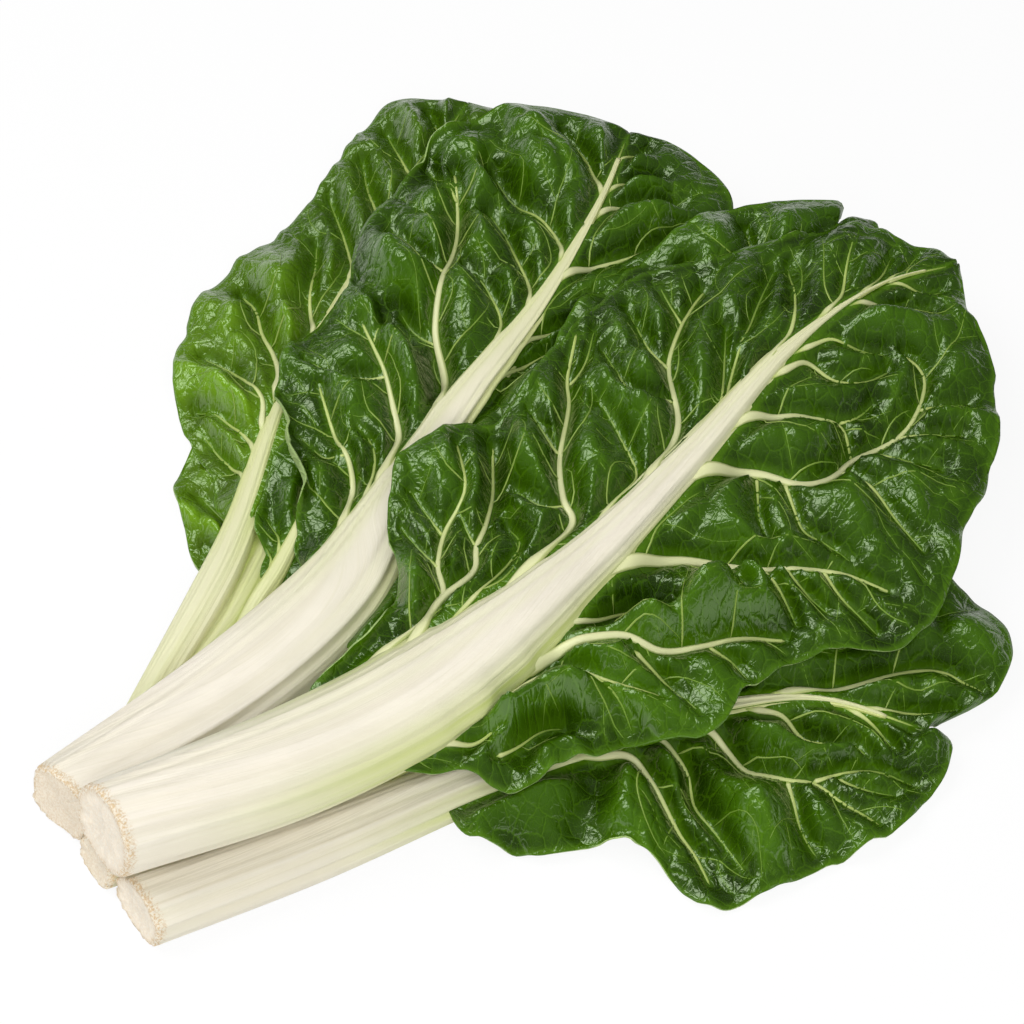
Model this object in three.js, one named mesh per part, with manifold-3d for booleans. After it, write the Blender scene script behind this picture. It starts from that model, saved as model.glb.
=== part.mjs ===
// A bunch of seven white-stemmed chard leaves lying in a loose pile on a flat surface.
// Millimetres, +Z up.  +X runs along the bunch from the cut stalks to the leaf tips,
// +Y is across it.  The origin is on the surface, under the middle of the pile.
//
// Each leaf is two solids that fit together: a stalk, which goes on as the midrib
// nearly to the tip, and a blade, a thin green sheet that starts as a narrow wing on
// either side of the stalk and closes beyond the end of the midrib.
import * as THREE from 'three';
import { mergeVertices } from 'three/addons/utils/BufferGeometryUtils.js';
import Module from 'manifold-3d';

const wasm = await Module();
wasm.setup();
const { Manifold, Mesh: SolidMesh } = wasm;

// ---------------------------------------------------------------- common sizes
const BLADE_THICKNESS = 2.6;
const SEAT_GAP = 0.3;
const STALK_SIDES = 12;
const STALK_STEPS = 14;
const BLADE_STEPS_ALONG = 18;
const BLADE_STEPS_ACROSS = 6;
const CUT_SLOPE_UP = 0.25;
const CUT_SLOPE_ACROSS = -0.2;
const CUT_REACH = 3;
const PILE_OFFSET = new THREE.Vector3(1.5, -10, 0);
const STALK_ROUGHNESS = 0.45;
const BLADE_ROUGHNESS = 0.35;
const WHITE_STALK = 0xf0ecdf;
const GREEN_STALK = 0xdfe6bd;
const DARK_GREEN = 0x2c5a16;
const MID_GREEN = 0x3a6a1e;
const LIGHT_GREEN = 0x4a7a28;

// ---------------------------------------------------------------- the leaves
// midrib: rows of [x, y, z of the centre, width, thickness], from the cut end to the tip.
// blade: rows of [knot, left margin x, y, z, right margin x, y, z]; knot counts rows of
// the midrib, so 2.5 is halfway between the third and the fourth.
// ribEnd: the knot where the midrib dies out.  puff: how far the blade arches between
// midrib and margin.  seat: height of the blade on the midrib, in halves of its thickness.
// pressedBy: leaves whose heavier stalks dent this one where they lie against it.
const LEAVES = [
  {
    name: 'inner_left_leaf',
    stalkColour: GREEN_STALK,
    bladeColour: MID_GREEN,
    ribEnd: 6.5,
    puff: 0,
    seat: -0.5,
    pressedBy: [],
    midrib: [
      [-150, 29, 7, 11, 12],
      [-121, 39, 7, 14, 12],
      [-99, 51, 7, 17, 12],
      [-67, 69, 7, 15, 10],
      [-45, 83, 7, 9, 8],
      [-5, 104, 6, 6, 6],
      [40, 122, 6, 5, 5],
      [80, 140, 5, 3, 3],
    ],
    blade: [
      [1.6, -110, 64, 3, -104, 46, 4],
      [2, -104, 88, 2, -90, 50, 4],
      [2.6, -90, 112, 2, -72, 56, 4],
      [3.2, -62, 130, 2, -46, 64, 4],
      [4, -28, 148, 2, -14, 76, 5],
      [5, 15, 160, 3, 30, 88, 5],
      [6, 58, 162, 3, 68, 106, 5],
      [6.6, 78, 156, 3, 84, 124, 5],
      [7, 86, 146, 4, 87, 136, 5],
    ],
  },
  {
    name: 'left_leaf',
    stalkColour: GREEN_STALK,
    bladeColour: LIGHT_GREEN,
    ribEnd: 6.6,
    puff: 1,
    seat: 0.35,
    pressedBy: ['middle_leaf'],
    midrib: [
      [-184, 26, 8, 9, 10],
      [-122, 55, 12, 13, 13],
      [-85, 76, 14, 12, 11],
      [-29, 114, 15, 8, 8],
      [15, 136, 16, 6, 6],
      [62, 158, 17, 5, 5],
      [108, 178, 17, 4, 4],
      [150, 198, 15, 3, 3],
    ],
    blade: [
      [1.9, -90, 90, 10, -76, 70, 16],
      [2.2, -77, 104, 8, -54, 80, 16],
      [2.5, -72, 126, 6, -30, 84, 16],
      [2.9, -58, 158, 4, -5, 90, 16],
      [3.4, -32, 180, 3, 20, 98, 16],
      [3.8, -4, 197, 3, 45, 106, 16],
      [4.4, 34, 197, 4, 80, 116, 16],
      [5.1, 70, 211, 4, 112, 132, 16],
      [5.8, 100, 221, 5, 138, 150, 16],
      [6.4, 128, 228, 6, 156, 172, 15],
      [7, 147, 205, 13, 155, 192, 14],
    ],
  },
  {
    name: 'small_leaf',
    stalkColour: GREEN_STALK,
    bladeColour: DARK_GREEN,
    ribEnd: 4.5,
    puff: 0,
    seat: 0,
    pressedBy: ['middle_leaf'],
    midrib: [
      [-125, 33, 17, 7, 7],
      [-105, 38, 17, 7, 7],
      [-90, 43, 17, 7, 7],
      [-68, 55, 18, 6, 6],
      [-40, 72, 20, 4, 4],
      [-5, 88, 20, 2, 2],
    ],
    blade: [
      [2, -88, 52, 17, -82, 41, 17],
      [2.5, -84, 66, 19, -62, 45, 18],
      [3, -66, 80, 20, -38, 54, 19],
      [4, -34, 96, 20, -4, 68, 20],
      [4.7, -4, 102, 20, 10, 84, 20],
      [5, 5, 96, 20, 8, 90, 20],
    ],
  },
  {
    name: 'middle_leaf',
    stalkColour: WHITE_STALK,
    bladeColour: DARK_GREEN,
    ribEnd: 6.6,
    puff: 1,
    seat: 0.35,
    pressedBy: [],
    midrib: [
      [-223, 13.5, 15, 30, 27],
      [-150, 8, 17, 40, 27],
      [-85, 13, 22, 38, 24],
      [-35, 31, 27, 24, 17],
      [20, 50, 32, 17, 13],
      [80, 69, 33, 10, 8],
      [140, 97, 31, 5, 5],
      [184, 124, 27, 3, 3],
    ],
    blade: [
      [1.9, -88, 36, 24, -105, -14, 22],
      [2.3, -72, 52, 25, -75, -16, 24],
      [2.6, -57, 74, 26, -50, -5, 25],
      [2.9, -46, 97, 25, -25, 5, 26],
      [3.3, -18, 127, 25, 10, 14, 26],
      [3.7, 21, 134, 25, 50, 20, 26],
      [4.2, 50, 158, 25, 95, 30, 26],
      [4.8, 88, 170, 25, 130, 40, 26],
      [5.4, 117, 180, 25, 165, 48, 26],
      [6, 145, 174, 26, 187, 62, 26],
      [6.5, 168, 158, 26, 195, 92, 26],
      [7, 184, 134, 26, 192, 116, 26],
    ],
  },
  {
    name: 'right_leaf',
    stalkColour: WHITE_STALK,
    bladeColour: DARK_GREEN,
    ribEnd: 5.6,
    puff: 2,
    seat: 0.35,
    pressedBy: [],
    midrib: [
      [-228, -41, 9.5, 31, 20],
      [-160, -64, 9.5, 28, 20],
      [-95, -84, 10, 22, 18],
      [-40, -107, 12, 15, 13],
      [5, -130, 14, 10, 9],
      [32, -152, 14, 6, 6],
      [52, -186, 12, 3, 3],
    ],
    blade: [
      [1.8, -106, -70, 12, -119, -94, 8],
      [2.1, -80, -71, 13, -107, -112, 5],
      [2.4, -55, -75, 14, -94, -126, 4],
      [2.8, -25, -85, 14, -64, -128, 6],
      [3.1, 5, -92, 15, -66, -155, 3],
      [3.5, 40, -98, 15, -66, -180, 2],
      [4, 75, -107, 15, -54, -190, 2],
      [4.4, 100, -127, 15, -32, -195, 2],
      [4.8, 111, -148, 13, -5, -204, 3],
      [5.2, 114, -166, 12, 22, -208, 3],
      [5.6, 106, -184, 9, 44, -204, 5],
      [6, 82, -194, 8, 62, -194, 8],
    ],
  },
  {
    name: 'under_leaf',
    stalkColour: WHITE_STALK,
    bladeColour: DARK_GREEN,
    ribEnd: 6.5,
    puff: 1,
    seat: 0.35,
    pressedBy: [],
    midrib: [
      [-227, -13, 8.5, 22, 18],
      [-160, -35, 9.5, 24, 18],
      [-100, -56, 12, 20, 15],
      [-40, -52, 18, 16, 13],
      [30, -30, 26, 10, 9],
      [100, -8, 33, 6, 6],
      [160, 6, 36, 4, 4],
      [208, 15, 35, 3, 3],
    ],
    blade: [
      [1.9, -100, -43, 14, -110, -66, 17],
      [2.3, -76, -32, 18, -80, -78, 20],
      [2.8, -40, -18, 23, -40, -92, 21],
      [3.3, -4, 0, 29, 0, -86, 23],
      [3.8, 34, 26, 33, 36, -80, 26],
      [4.3, 72, 48, 36, 75, -78, 29],
      [4.8, 102, 55, 36, 110, -74, 33],
      [5.4, 130, 58, 36, 145, -64, 35],
      [6, 162, 56, 36, 176, -45, 36],
      [6.5, 192, 44, 36, 202, -20, 36],
      [7, 222, 20, 35, 224, 8, 35],
    ],
  },
  {
    name: 'front_leaf',
    stalkColour: WHITE_STALK,
    bladeColour: DARK_GREEN,
    ribEnd: 6.6,
    puff: 2,
    seat: 0.35,
    pressedBy: [],
    midrib: [
      [-225, -21, 39, 36, 34],
      [-150, -46, 40, 45, 31],
      [-85, -57, 42, 44, 28],
      [-10, -55, 46, 27, 18],
      [60, -45, 48, 18, 13],
      [125, -32, 50, 11, 9],
      [183, -30, 47, 5, 5],
      [219, -35, 42, 3, 3],
    ],
    blade: [
      [1.3, -122, -24, 40, -122, -80, 33],
      [1.7, -95, -22, 41, -104, -88, 30],
      [2, -72, -12, 43, -98, -98, 27],
      [2.2, -54, 16, 44, -90, -108, 27],
      [2.4, -30, 34, 44, -68, -112, 28],
      [2.6, -5, 37, 44, -48, -118, 28],
      [2.75, 14, 28, 44, -22, -140, 28],
      [3, 40, 32, 44, 4, -134, 29],
      [3.4, 80, 47, 43, 36, -140, 29],
      [3.8, 115, 46, 43, 66, -157, 29],
      [4.3, 152, 31, 43, 104, -151, 31],
      [4.8, 180, 20, 43, 140, -131, 33],
      [5.3, 200, 8, 43, 170, -115, 36],
      [5.8, 213, -8, 43, 188, -95, 38],
      [6.2, 220, -20, 42, 202, -76, 39],
      [6.6, 224, -30, 42, 213, -58, 41],
      [7, 224, -38, 42, 222, -44, 42],
    ],
  },
];

// ---------------------------------------------------------------- helpers
// The solid bounded by a closed warped geometry.
function solidOf(geometry) {
  const bare = new THREE.BufferGeometry();
  bare.setAttribute('position', geometry.getAttribute('position'));
  bare.setIndex(geometry.getIndex());
  const welded = mergeVertices(bare, 0.001);
  const mesh = new SolidMesh({
    numProp: 3,
    vertProperties: new Float32Array(welded.getAttribute('position').array),
    triVerts: new Uint32Array(welded.getIndex().array),
  });
  mesh.merge();
  return new Manifold(mesh);
}

// The geometry of a solid, with flat-shaded faces.
function geometryOf(solid) {
  const mesh = solid.getMesh();
  const indexed = new THREE.BufferGeometry();
  indexed.setAttribute('position', new THREE.BufferAttribute(mesh.vertProperties, mesh.numProp));
  indexed.setIndex(new THREE.BufferAttribute(mesh.triVerts, 1));
  indexed.computeVertexNormals();
  return indexed;
}

// A smooth curve through points, whose getPoint(t) reaches point i at t = i / (count - 1).
function smoothThrough(points) {
  return new THREE.CatmullRomCurve3(points, false, 'catmullrom', 0.5);
}

// Every vertex of a geometry moved to where place(x, y, z) puts it.
function warp(geometry, place) {
  const position = geometry.getAttribute('position');
  for (let i = 0; i < position.count; i += 1) {
    const point = place(position.getX(i), position.getY(i), position.getZ(i));
    position.setXYZ(i, point.x, point.y, point.z);
  }
  return geometry;
}

// The curves that carry a leaf: centre line and section of its midrib.
function midribOf(leaf) {
  const centres = leaf.midrib.map((row) => new THREE.Vector3(row[0], row[1], row[2]));
  const sections = leaf.midrib.map((row) => new THREE.Vector3(row[3], row[4], 0));
  return {
    knots: leaf.midrib.length - 1,
    centre: smoothThrough(centres),
    section: smoothThrough(sections),
  };
}

// The stalk and midrib: a tapering rounded bar, flat where it lies on the surface.
// extra is added all round, so that the same bar can cut a seat for itself.
function stalkSolid(leaf, extra) {
  const rib = midribOf(leaf);
  const end = leaf.ribEnd / rib.knots;
  const turn = Math.PI / STALK_SIDES;
  const bar = new THREE.CylinderGeometry(1, 1, 1, STALK_SIDES, STALK_STEPS);
  bar.rotateY(turn);
  const up = new THREE.Vector3(0, 0, 1);
  warp(bar, (x, y, z) => {
    const t = (y + 0.5) * end;
    const centre = rib.centre.getPoint(t);
    const size = rib.section.getPoint(t);
    const along = rib.centre.getTangent(t);
    const side = new THREE.Vector3().crossVectors(up, along).normalize();
    const top = new THREE.Vector3().crossVectors(along, side);
    centre.addScaledVector(side, -x * (size.x / 2 + extra));
    centre.addScaledVector(top, z * (size.y / 2 + extra));
    const nearCut = Math.max(0, 1 - (y + 0.5) * STALK_STEPS / CUT_REACH);
    const cutBack = CUT_SLOPE_UP * z * size.y / 2 - CUT_SLOPE_ACROSS * x * size.x / 2;
    centre.addScaledVector(along, 2 * y * extra + nearCut * cutBack);
    centre.z = Math.max(centre.z, 0);
    return centre;
  });
  return solidOf(bar);
}

// The blade: a sheet stretched from the midrib out to the two margins.
function bladeSolid(leaf) {
  const rib = midribOf(leaf);
  const knots = smoothThrough(leaf.blade.map((row) => new THREE.Vector3(row[0], 0, 0)));
  const left = smoothThrough(leaf.blade.map((row) => new THREE.Vector3(row[1], row[2], row[3])));
  const right = smoothThrough(leaf.blade.map((row) => new THREE.Vector3(row[4], row[5], row[6])));
  const sheet = new THREE.BoxGeometry(2, 1, 1, 2 * BLADE_STEPS_ACROSS, 1, BLADE_STEPS_ALONG);
  warp(sheet, (x, y, z) => {
    const u = 0.5 - z;
    const out = Math.abs(x);
    const knot = Math.min(knots.getPoint(u).x, rib.knots);
    const point = rib.centre.getPoint(knot / rib.knots);
    point.z += leaf.seat * rib.section.getPoint(knot / rib.knots).y / 2;
    const margin = (x > 0 ? right : left).getPoint(u);
    point.lerp(margin, out);
    point.z += leaf.puff * 4 * out * (1 - out);
    point.z = Math.max(point.z, BLADE_THICKNESS / 2) + y * BLADE_THICKNESS;
    return point;
  });
  return solidOf(sheet);
}

// The largest single body of a solid that cutting may have left in pieces.
function largestBody(solid) {
  const bodies = solid.decompose();
  bodies.sort((a, b) => b.volume() - a.volume());
  return bodies[0];
}

function namedMesh(name, solid, colour, roughness) {
  const geometry = geometryOf(solid);
  const material = new THREE.MeshStandardMaterial({ color: colour, roughness, metalness: 0 });
  const mesh = new THREE.Mesh(geometry, material);
  mesh.name = name;
  mesh.position.copy(PILE_OFFSET);
  return mesh;
}

// ---------------------------------------------------------------- the bunch
const bunch = new THREE.Group();
bunch.name = 'chard_bunch';
for (const leaf of LEAVES) {
  let stalk = stalkSolid(leaf, 0);
  for (const other of LEAVES.filter((one) => leaf.pressedBy.includes(one.name))) {
    stalk = largestBody(stalk.subtract(stalkSolid(other, SEAT_GAP)));
  }
  const seat = stalkSolid(leaf, SEAT_GAP);
  const blade = largestBody(bladeSolid(leaf).subtract(seat));
  bunch.add(namedMesh(`${leaf.name}_stalk`, stalk, leaf.stalkColour, STALK_ROUGHNESS));
  bunch.add(namedMesh(`${leaf.name}_blade`, blade, leaf.bladeColour, BLADE_ROUGHNESS));
}

export default bunch;
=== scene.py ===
"""A bunch of white-stemmed chard leaves lying in a loose pile on a flat surface.

Every leaf is a stem, a crinkled green blade and a net of pale veins.  The shape of a leaf
is a set of rows that run from its midrib out to its two margins.  Places on a blade are
given as (row, out): which row, and how far out along it, 0 on the midrib, 1 on the left
margin and -1 on the right one.  Leaves are worked out in millimetres.
"""

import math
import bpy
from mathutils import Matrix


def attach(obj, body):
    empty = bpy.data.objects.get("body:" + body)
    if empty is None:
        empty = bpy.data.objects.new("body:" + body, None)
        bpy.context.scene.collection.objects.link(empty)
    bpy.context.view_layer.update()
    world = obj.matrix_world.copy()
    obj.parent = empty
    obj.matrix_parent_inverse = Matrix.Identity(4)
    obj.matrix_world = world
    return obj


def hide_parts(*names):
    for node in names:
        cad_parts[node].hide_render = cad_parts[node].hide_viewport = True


bl_info = {
    "name": "Chard Bunch",
    "version": (1, 0, 0),
    "blender": (4, 5, 0),
    "location": "View3D > Sidebar > Chard",
    "description": "Builds a bunch of chard leaves with thick pale stems and glossy crinkled blades",
    "category": "Object",
}

import bmesh
import bpy
import numpy as np
from bpy.props import FloatProperty, FloatVectorProperty, PointerProperty
from mathutils import Vector
from mathutils.kdtree import KDTree

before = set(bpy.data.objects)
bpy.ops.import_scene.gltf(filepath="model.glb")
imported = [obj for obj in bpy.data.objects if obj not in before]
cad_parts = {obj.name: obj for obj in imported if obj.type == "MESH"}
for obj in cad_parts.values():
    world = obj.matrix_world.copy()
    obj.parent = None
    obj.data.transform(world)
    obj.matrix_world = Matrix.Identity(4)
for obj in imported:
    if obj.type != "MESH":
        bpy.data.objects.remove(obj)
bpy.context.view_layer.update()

MM = 0.001
BODY = "root"
PILE_OFFSET = np.array([1.5, -10.0, 0.0])  # from the leaves' own zero to that of the frame
LIGHT_BLADES = ("inner_left_leaf", "left_leaf")

# ------------------------------------------------------------------ the leaves, bottom to top
# midrib: x, y, z of the centre, width, thickness, from the cut end to the tip.
# margins: knot of the midrib, left margin x, y, z, right margin x, y, z.
# rib_end: the knot where the midrib dies out.  puff: how far the blade arches.
# seat: height of the blade on the midrib, in halves of its thickness.
# green: how green the stem is.
# grooves: angle round the stem from its right side, depth, width in degrees.
# veins, twigs: width where it starts, then the (row, out) places it passes.
# folds: height, width before and behind the line, then the (row, out) places of the line.
# curls: side, first row, last row, length of blade that curls, turn in degrees.
LEAVES = [{
    "name": "inner_left_leaf", "rib_end": 6.5, "puff": 0, "seat": -0.5, "green": 0.62,
    "midrib": [
        (-150, 29, 7, 12, 12), (-121, 39.5, 7, 16, 12), (-99, 51, 7, 19, 12), (-67, 69, 7, 17, 10),
        (-45, 83, 7, 9, 8), (-5, 104, 6, 6, 6), (40, 122, 6, 5, 5), (80, 140, 5, 3, 3),
    ],
    "margins": [
        (1.6, -110, 64, 3, -104, 46, 4), (2, -104, 88, 2, -90, 50, 4), (2.6, -90, 112, 2, -72, 56, 4),
        (3.2, -62, 130, 2, -46, 64, 4), (4, -28, 148, 2, -14, 76, 5), (5, 15, 160, 3, 30, 88, 5),
        (6, 58, 162, 3, 68, 106, 5), (6.6, 78, 156, 3, 84, 124, 5), (7, 86, 146, 4, 87, 136, 5),
    ],
    "grooves": [(70, 1.2, 22), (115, 0.8, 16)],
    "veins": [
        (2.0, (0.6, 0.1), (1.1, 0.35), (1.3, 0.7)),
        (1.8, (1.4, 0.1), (1.9, 0.35), (2.2, 0.75)),
        (1.8, (2.2, 0.08), (2.8, 0.4), (3.1, 0.8)),
    ],
}, {
    "name": "left_leaf", "rib_end": 6.6, "puff": 1, "seat": 0.35, "green": 0.34,
    "midrib": [
        (-183, 25, 8, 12, 11), (-121, 53.5, 12, 16, 13), (-84, 74.5, 14, 14, 11), (-29, 114, 15, 9, 8),
        (15, 136, 16, 6, 6), (62, 158, 17, 5, 5), (108, 178, 17, 4, 4), (150, 198, 15, 3, 3),
    ],
    "margins": [
        (1.9, -90, 90, 10, -76, 70, 16), (2.2, -77, 104, 8, -54, 80, 16), (2.5, -72, 126, 6, -30, 84, 16),
        (2.9, -58, 158, 4, -5, 90, 16), (3.4, -32, 180, 3, 20, 98, 16), (3.8, -4, 197, 3, 45, 106, 16),
        (4.4, 34, 197, 4, 80, 116, 16), (5.1, 70, 211, 4, 112, 132, 16), (5.8, 100, 221, 5, 138, 150, 16),
        (6.4, 128, 228, 6, 156, 172, 15), (7, 147, 205, 13, 155, 192, 14),
    ],
    "grooves": [(60, 0.8, 20), (120, 0.5, 14)],
    "veins": [
        (1.8, (0.5, 0.1), (1.2, 0.3), (1.9, 0.5), (2.5, 0.85)),
        (2.0, (1.6, 0.04), (2.1, 0.1), (2.5, 0.35), (2.75, 0.6), (2.8, 0.8)),
        (2.6, (2.3, 0.04), (2.7, 0.08), (3.0, 0.15), (3.3, 0.33), (3.6, 0.52), (3.75, 0.8)),
        (3.4, (2.6, 0.03), (3.2, 0.05), (3.6, 0.12), (4.0, 0.24), (4.5, 0.42), (4.95, 0.58), (5.1, 0.78)),
        (2.4, (4.8, 0.04), (5.2, 0.14), (5.5, 0.27), (5.95, 0.46), (6.3, 0.64)),
        (2.0, (6.0, 0.04), (6.35, 0.15), (6.7, 0.5), (6.95, 0.84)),
        (2.0, (6.9, 0.04), (7.2, 0.2), (7.45, 0.5), (7.75, 0.75)),
        (2.0, (7.8, 0.04), (8.1, 0.2), (8.3, 0.45), (8.55, 0.75)),
        (1.6, (8.8, 0.05), (9.2, 0.25), (9.4, 0.6)),
        (2.0, (5.6, -0.05), (6.2, -0.3), (6.8, -0.7)),
        (1.8, (7.4, -0.05), (7.9, -0.3), (8.3, -0.7)),
    ],
}, {
    "name": "small_leaf", "rib_end": 4.5, "puff": 0, "seat": 0, "green": 0.38,
    "midrib": [
        (-130, 28.5, 8, 5, 5), (-106, 37, 15, 8, 8), (-90, 43, 17, 8, 8), (-68, 55, 18, 6, 6),
        (-40, 72, 20, 4, 4), (-5, 88, 20, 2, 2),
    ],
    "margins": [
        (1.5, -101, 46, 17, -96, 35, 15), (2, -88, 54, 17, -82, 36, 16), (2.5, -84, 66, 19, -62, 42, 17),
        (3, -66, 80, 20, -38, 54, 19), (4, -34, 96, 20, -4, 68, 20), (4.7, -4, 102, 20, 10, 84, 20),
        (5, 5, 96, 20, 8, 90, 20),
    ],
    "veins": [(1.4, (0.8, 0.05), (1.3, 0.4), (1.5, 0.8)), (1.4, (1.8, 0.05), (2.3, 0.4), (2.5, 0.8))],
}, {
    "name": "middle_leaf", "boxiness": 3.2, "cut_white": 0.66, "rib_end": 6.6, "puff": 1, "seat": 0.35,
    "green": 0.03,
    "midrib": [
        (-223, 13.5, 15, 30, 27), (-150, 7.5, 17, 41, 27), (-85, 12, 22, 40, 24), (-35, 31, 27, 24, 17),
        (20, 50, 32, 17, 13), (80, 69, 33, 10, 8), (140, 97, 31, 5, 5), (184, 124, 27, 3, 3),
    ],
    "margins": [
        (1.9, -88, 36, 24, -105, -14, 22), (2.3, -72, 52, 25, -75, -16, 24),
        (2.6, -57, 74, 26, -50, -5, 25), (2.9, -46, 97, 25, -25, 5, 26), (3.3, -18, 127, 25, 10, 14, 26),
        (3.7, 21, 134, 25, 50, 20, 26), (4.2, 50, 158, 25, 95, 30, 26), (4.8, 88, 170, 25, 130, 40, 26),
        (5.4, 117, 180, 25, 165, 48, 26), (6, 145, 174, 26, 187, 62, 26), (6.5, 168, 158, 26, 195, 92, 26),
        (7, 184, 134, 26, 192, 116, 26),
    ],
    "grooves": [(3, 1.0, 8), (40, 0.9, 12), (72, 0.5, 8), (112, 0.9, 16)],
    "veins": [
        (4.0, (1.2, 0.06), (2.0, 0.12), (2.5, 0.23), (3.0, 0.34), (3.5, 0.52), (3.95, 0.72)),
        (2.2, (2.8, 0.04), (3.3, 0.12), (3.7, 0.26), (3.8, 0.4)),
        (4.8, (3.0, 0.03), (3.8, 0.08), (4.2, 0.19), (4.5, 0.31), (4.75, 0.47), (4.85, 0.6), (4.95, 0.78)),
        (5.0, (4.4, 0.03), (5.2, 0.06), (5.6, 0.18), (6.0, 0.37), (6.5, 0.49), (7.0, 0.58), (7.4, 0.68),
         (7.8, 0.8)),
        (2.0, (6.4, 0.03), (6.8, 0.15), (6.9, 0.32), (6.85, 0.45)),
        (2.2, (7.0, 0.03), (7.4, 0.12), (7.55, 0.25), (7.7, 0.4), (7.75, 0.52)),
        (2.2, (7.8, 0.03), (8.2, 0.13), (8.3, 0.3), (8.25, 0.47), (8.3, 0.65)),
        (2.2, (9.0, 0.03), (9.45, 0.13), (9.7, 0.35), (9.8, 0.68)),
        (3.0, (5.4, -0.08), (6.0, -0.16), (6.3, -0.3), (6.4, -0.45)),
        (3.2, (6.0, -0.06), (6.6, -0.13), (6.8, -0.27), (6.9, -0.5)),
        (3.2, (7.1, -0.04), (7.7, -0.07), (7.95, -0.2), (8.05, -0.4), (8.35, -0.65)),
        (2.6, (8.6, -0.04), (9.0, -0.15), (9.05, -0.4), (8.95, -0.62)),
        (1.8, (9.2, -0.05), (9.6, -0.2), (9.6, -0.5)),
        (1.6, (10.0, -0.05), (10.4, -0.2), (10.5, -0.5)),
    ],
    "twigs": [
        (1.7, (6.55, 0.5), (6.5, 0.66), (6.45, 0.88)),
        (1.4, (5.9, 0.33), (5.8, 0.45), (5.75, 0.58)),
        (1.5, (7.45, 0.69), (7.5, 0.82), (7.55, 0.93)),
        (1.7, (4.75, 0.47), (4.45, 0.6), (4.2, 0.73), (4.1, 0.88)),
        (1.4, (4.9, 0.65), (5.2, 0.68), (5.5, 0.66)),
        (1.4, (3.3, 0.42), (3.1, 0.6), (3.1, 0.8)),
    ],
    "folds": [
        (11, 10, 5, (4.9, 0.2), (5.05, 0.4), (5.1, 0.65), (5.05, 0.98)),
        (-8, 5, 9, (5.1, 0.2), (5.45, 0.38), (5.55, 0.65), (5.55, 0.95)),
        (7, 8, 10, (3.6, 0.3), (4.1, 0.6), (4.1, 0.95)),
        (-7, 5, 7, (2.9, 0.35), (3.3, 0.55), (3.5, 0.9)),
        (7, 12, 14, (6.6, 0.4), (6.2, 0.6), (6.1, 0.85)),
        (-6, 8, 10, (7.9, 0.25), (8.2, 0.5), (8.4, 0.8)),
        (7, 12, 12, (9.0, 0.3), (9.1, 0.55), (9.2, 0.8)),
    ],
    "curls": [(1, 0.8, 3.6, 16, 160), (1, 6.8, 9.2, 6, 100)],
}, {
    "name": "right_leaf", "rib_end": 5.6, "puff": 2, "seat": 0.35, "green": 0.06,
    "midrib": [
        (-228, -41, 9.5, 31, 20), (-160, -64, 9.5, 28, 20), (-95, -84, 10, 22, 18), (-40, -107, 12, 15, 13),
        (5, -130, 14, 10, 9), (32, -152, 14, 6, 6), (52, -186, 12, 3, 3),
    ],
    "margins": [
        (1.8, -106, -70, 12, -119, -94, 8), (2.1, -80, -71, 13, -107, -112, 5),
        (2.4, -55, -75, 14, -94, -126, 4), (2.8, -25, -85, 14, -74, -139, 5),
        (3.1, 5, -92, 15, -66, -155, 3), (3.5, 40, -98, 15, -66, -180, 2), (4, 75, -107, 15, -54, -190, 2),
        (4.4, 100, -127, 15, -32, -195, 2), (4.8, 111, -148, 13, -5, -204, 3),
        (5.2, 114, -166, 12, 22, -208, 3), (5.6, 106, -184, 9, 44, -204, 5), (6, 82, -194, 8, 62, -194, 8),
    ],
    "grooves": [(14, 1.2, 10), (52, 1.3, 12), (86, 0.7, 9), (125, 0.6, 12)],
    "veins": [
        (3.6, (2.8, -0.05), (3.4, -0.08), (3.9, -0.2), (4.2, -0.35), (4.7, -0.6), (5.0, -0.69),
         (5.3, -0.86)),
        (2.0, (4.7, -0.06), (5.0, -0.25), (5.1, -0.42), (5.4, -0.54), (5.7, -0.66), (6.1, -0.82)),
        (3.6, (4.9, -0.05), (5.45, -0.1), (5.75, -0.2), (6.1, -0.32), (6.7, -0.38), (7.2, -0.44),
         (7.7, -0.5), (8.2, -0.72), (8.5, -0.88)),
        (2.4, (6.7, -0.03), (7.2, -0.1), (7.6, -0.22), (8.2, -0.27), (8.7, -0.29), (8.9, -0.42)),
        (1.8, (9.2, -0.04), (9.55, -0.2), (9.6, -0.42)),
        (3.6, (7.0, 0.03), (7.8, 0.08), (8.4, 0.2), (9.0, 0.42), (9.5, 0.56), (10.0, 0.63), (10.4, 0.78)),
        (2.0, (9.4, 0.04), (9.9, 0.12), (10.4, 0.3), (10.6, 0.5)),
        (2.6, (3.4, 0.05), (4.4, 0.3), (5.2, 0.75)),
        (2.4, (5.0, 0.05), (6.0, 0.35), (6.8, 0.8)),
    ],
    "twigs": [
        (2.0, (7.1, -0.43), (7.2, -0.57), (7.25, -0.7), (7.45, -0.9)),
        (2.0, (7.6, -0.48), (8.1, -0.47), (8.7, -0.5), (9.1, -0.58), (9.5, -0.76)),
        (1.5, (8.1, -0.5), (8.5, -0.62), (9.0, -0.76)),
    ],
    "folds": [
        (7, 7, 12, (3.3, -0.95), (3.4, -0.7), (3.7, -0.45), (4.0, -0.3)),
        (-7, 8, 8, (2.3, -0.9), (2.7, -0.6), (3.0, -0.4)),
        (-7, 7, 9, (5.9, -0.95), (5.55, -0.75), (5.2, -0.5), (5.1, -0.3)),
        (6, 10, 12, (6.6, -0.9), (6.3, -0.7), (6.0, -0.5)),
    ],
    "curls": [(-1, 2.6, 3.7, 5, 110)],
}, {
    "name": "under_leaf", "cut_white": 0.66, "rib_end": 6.5, "puff": 1, "seat": 0.35, "green": 0.4,
    "midrib": [
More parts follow.
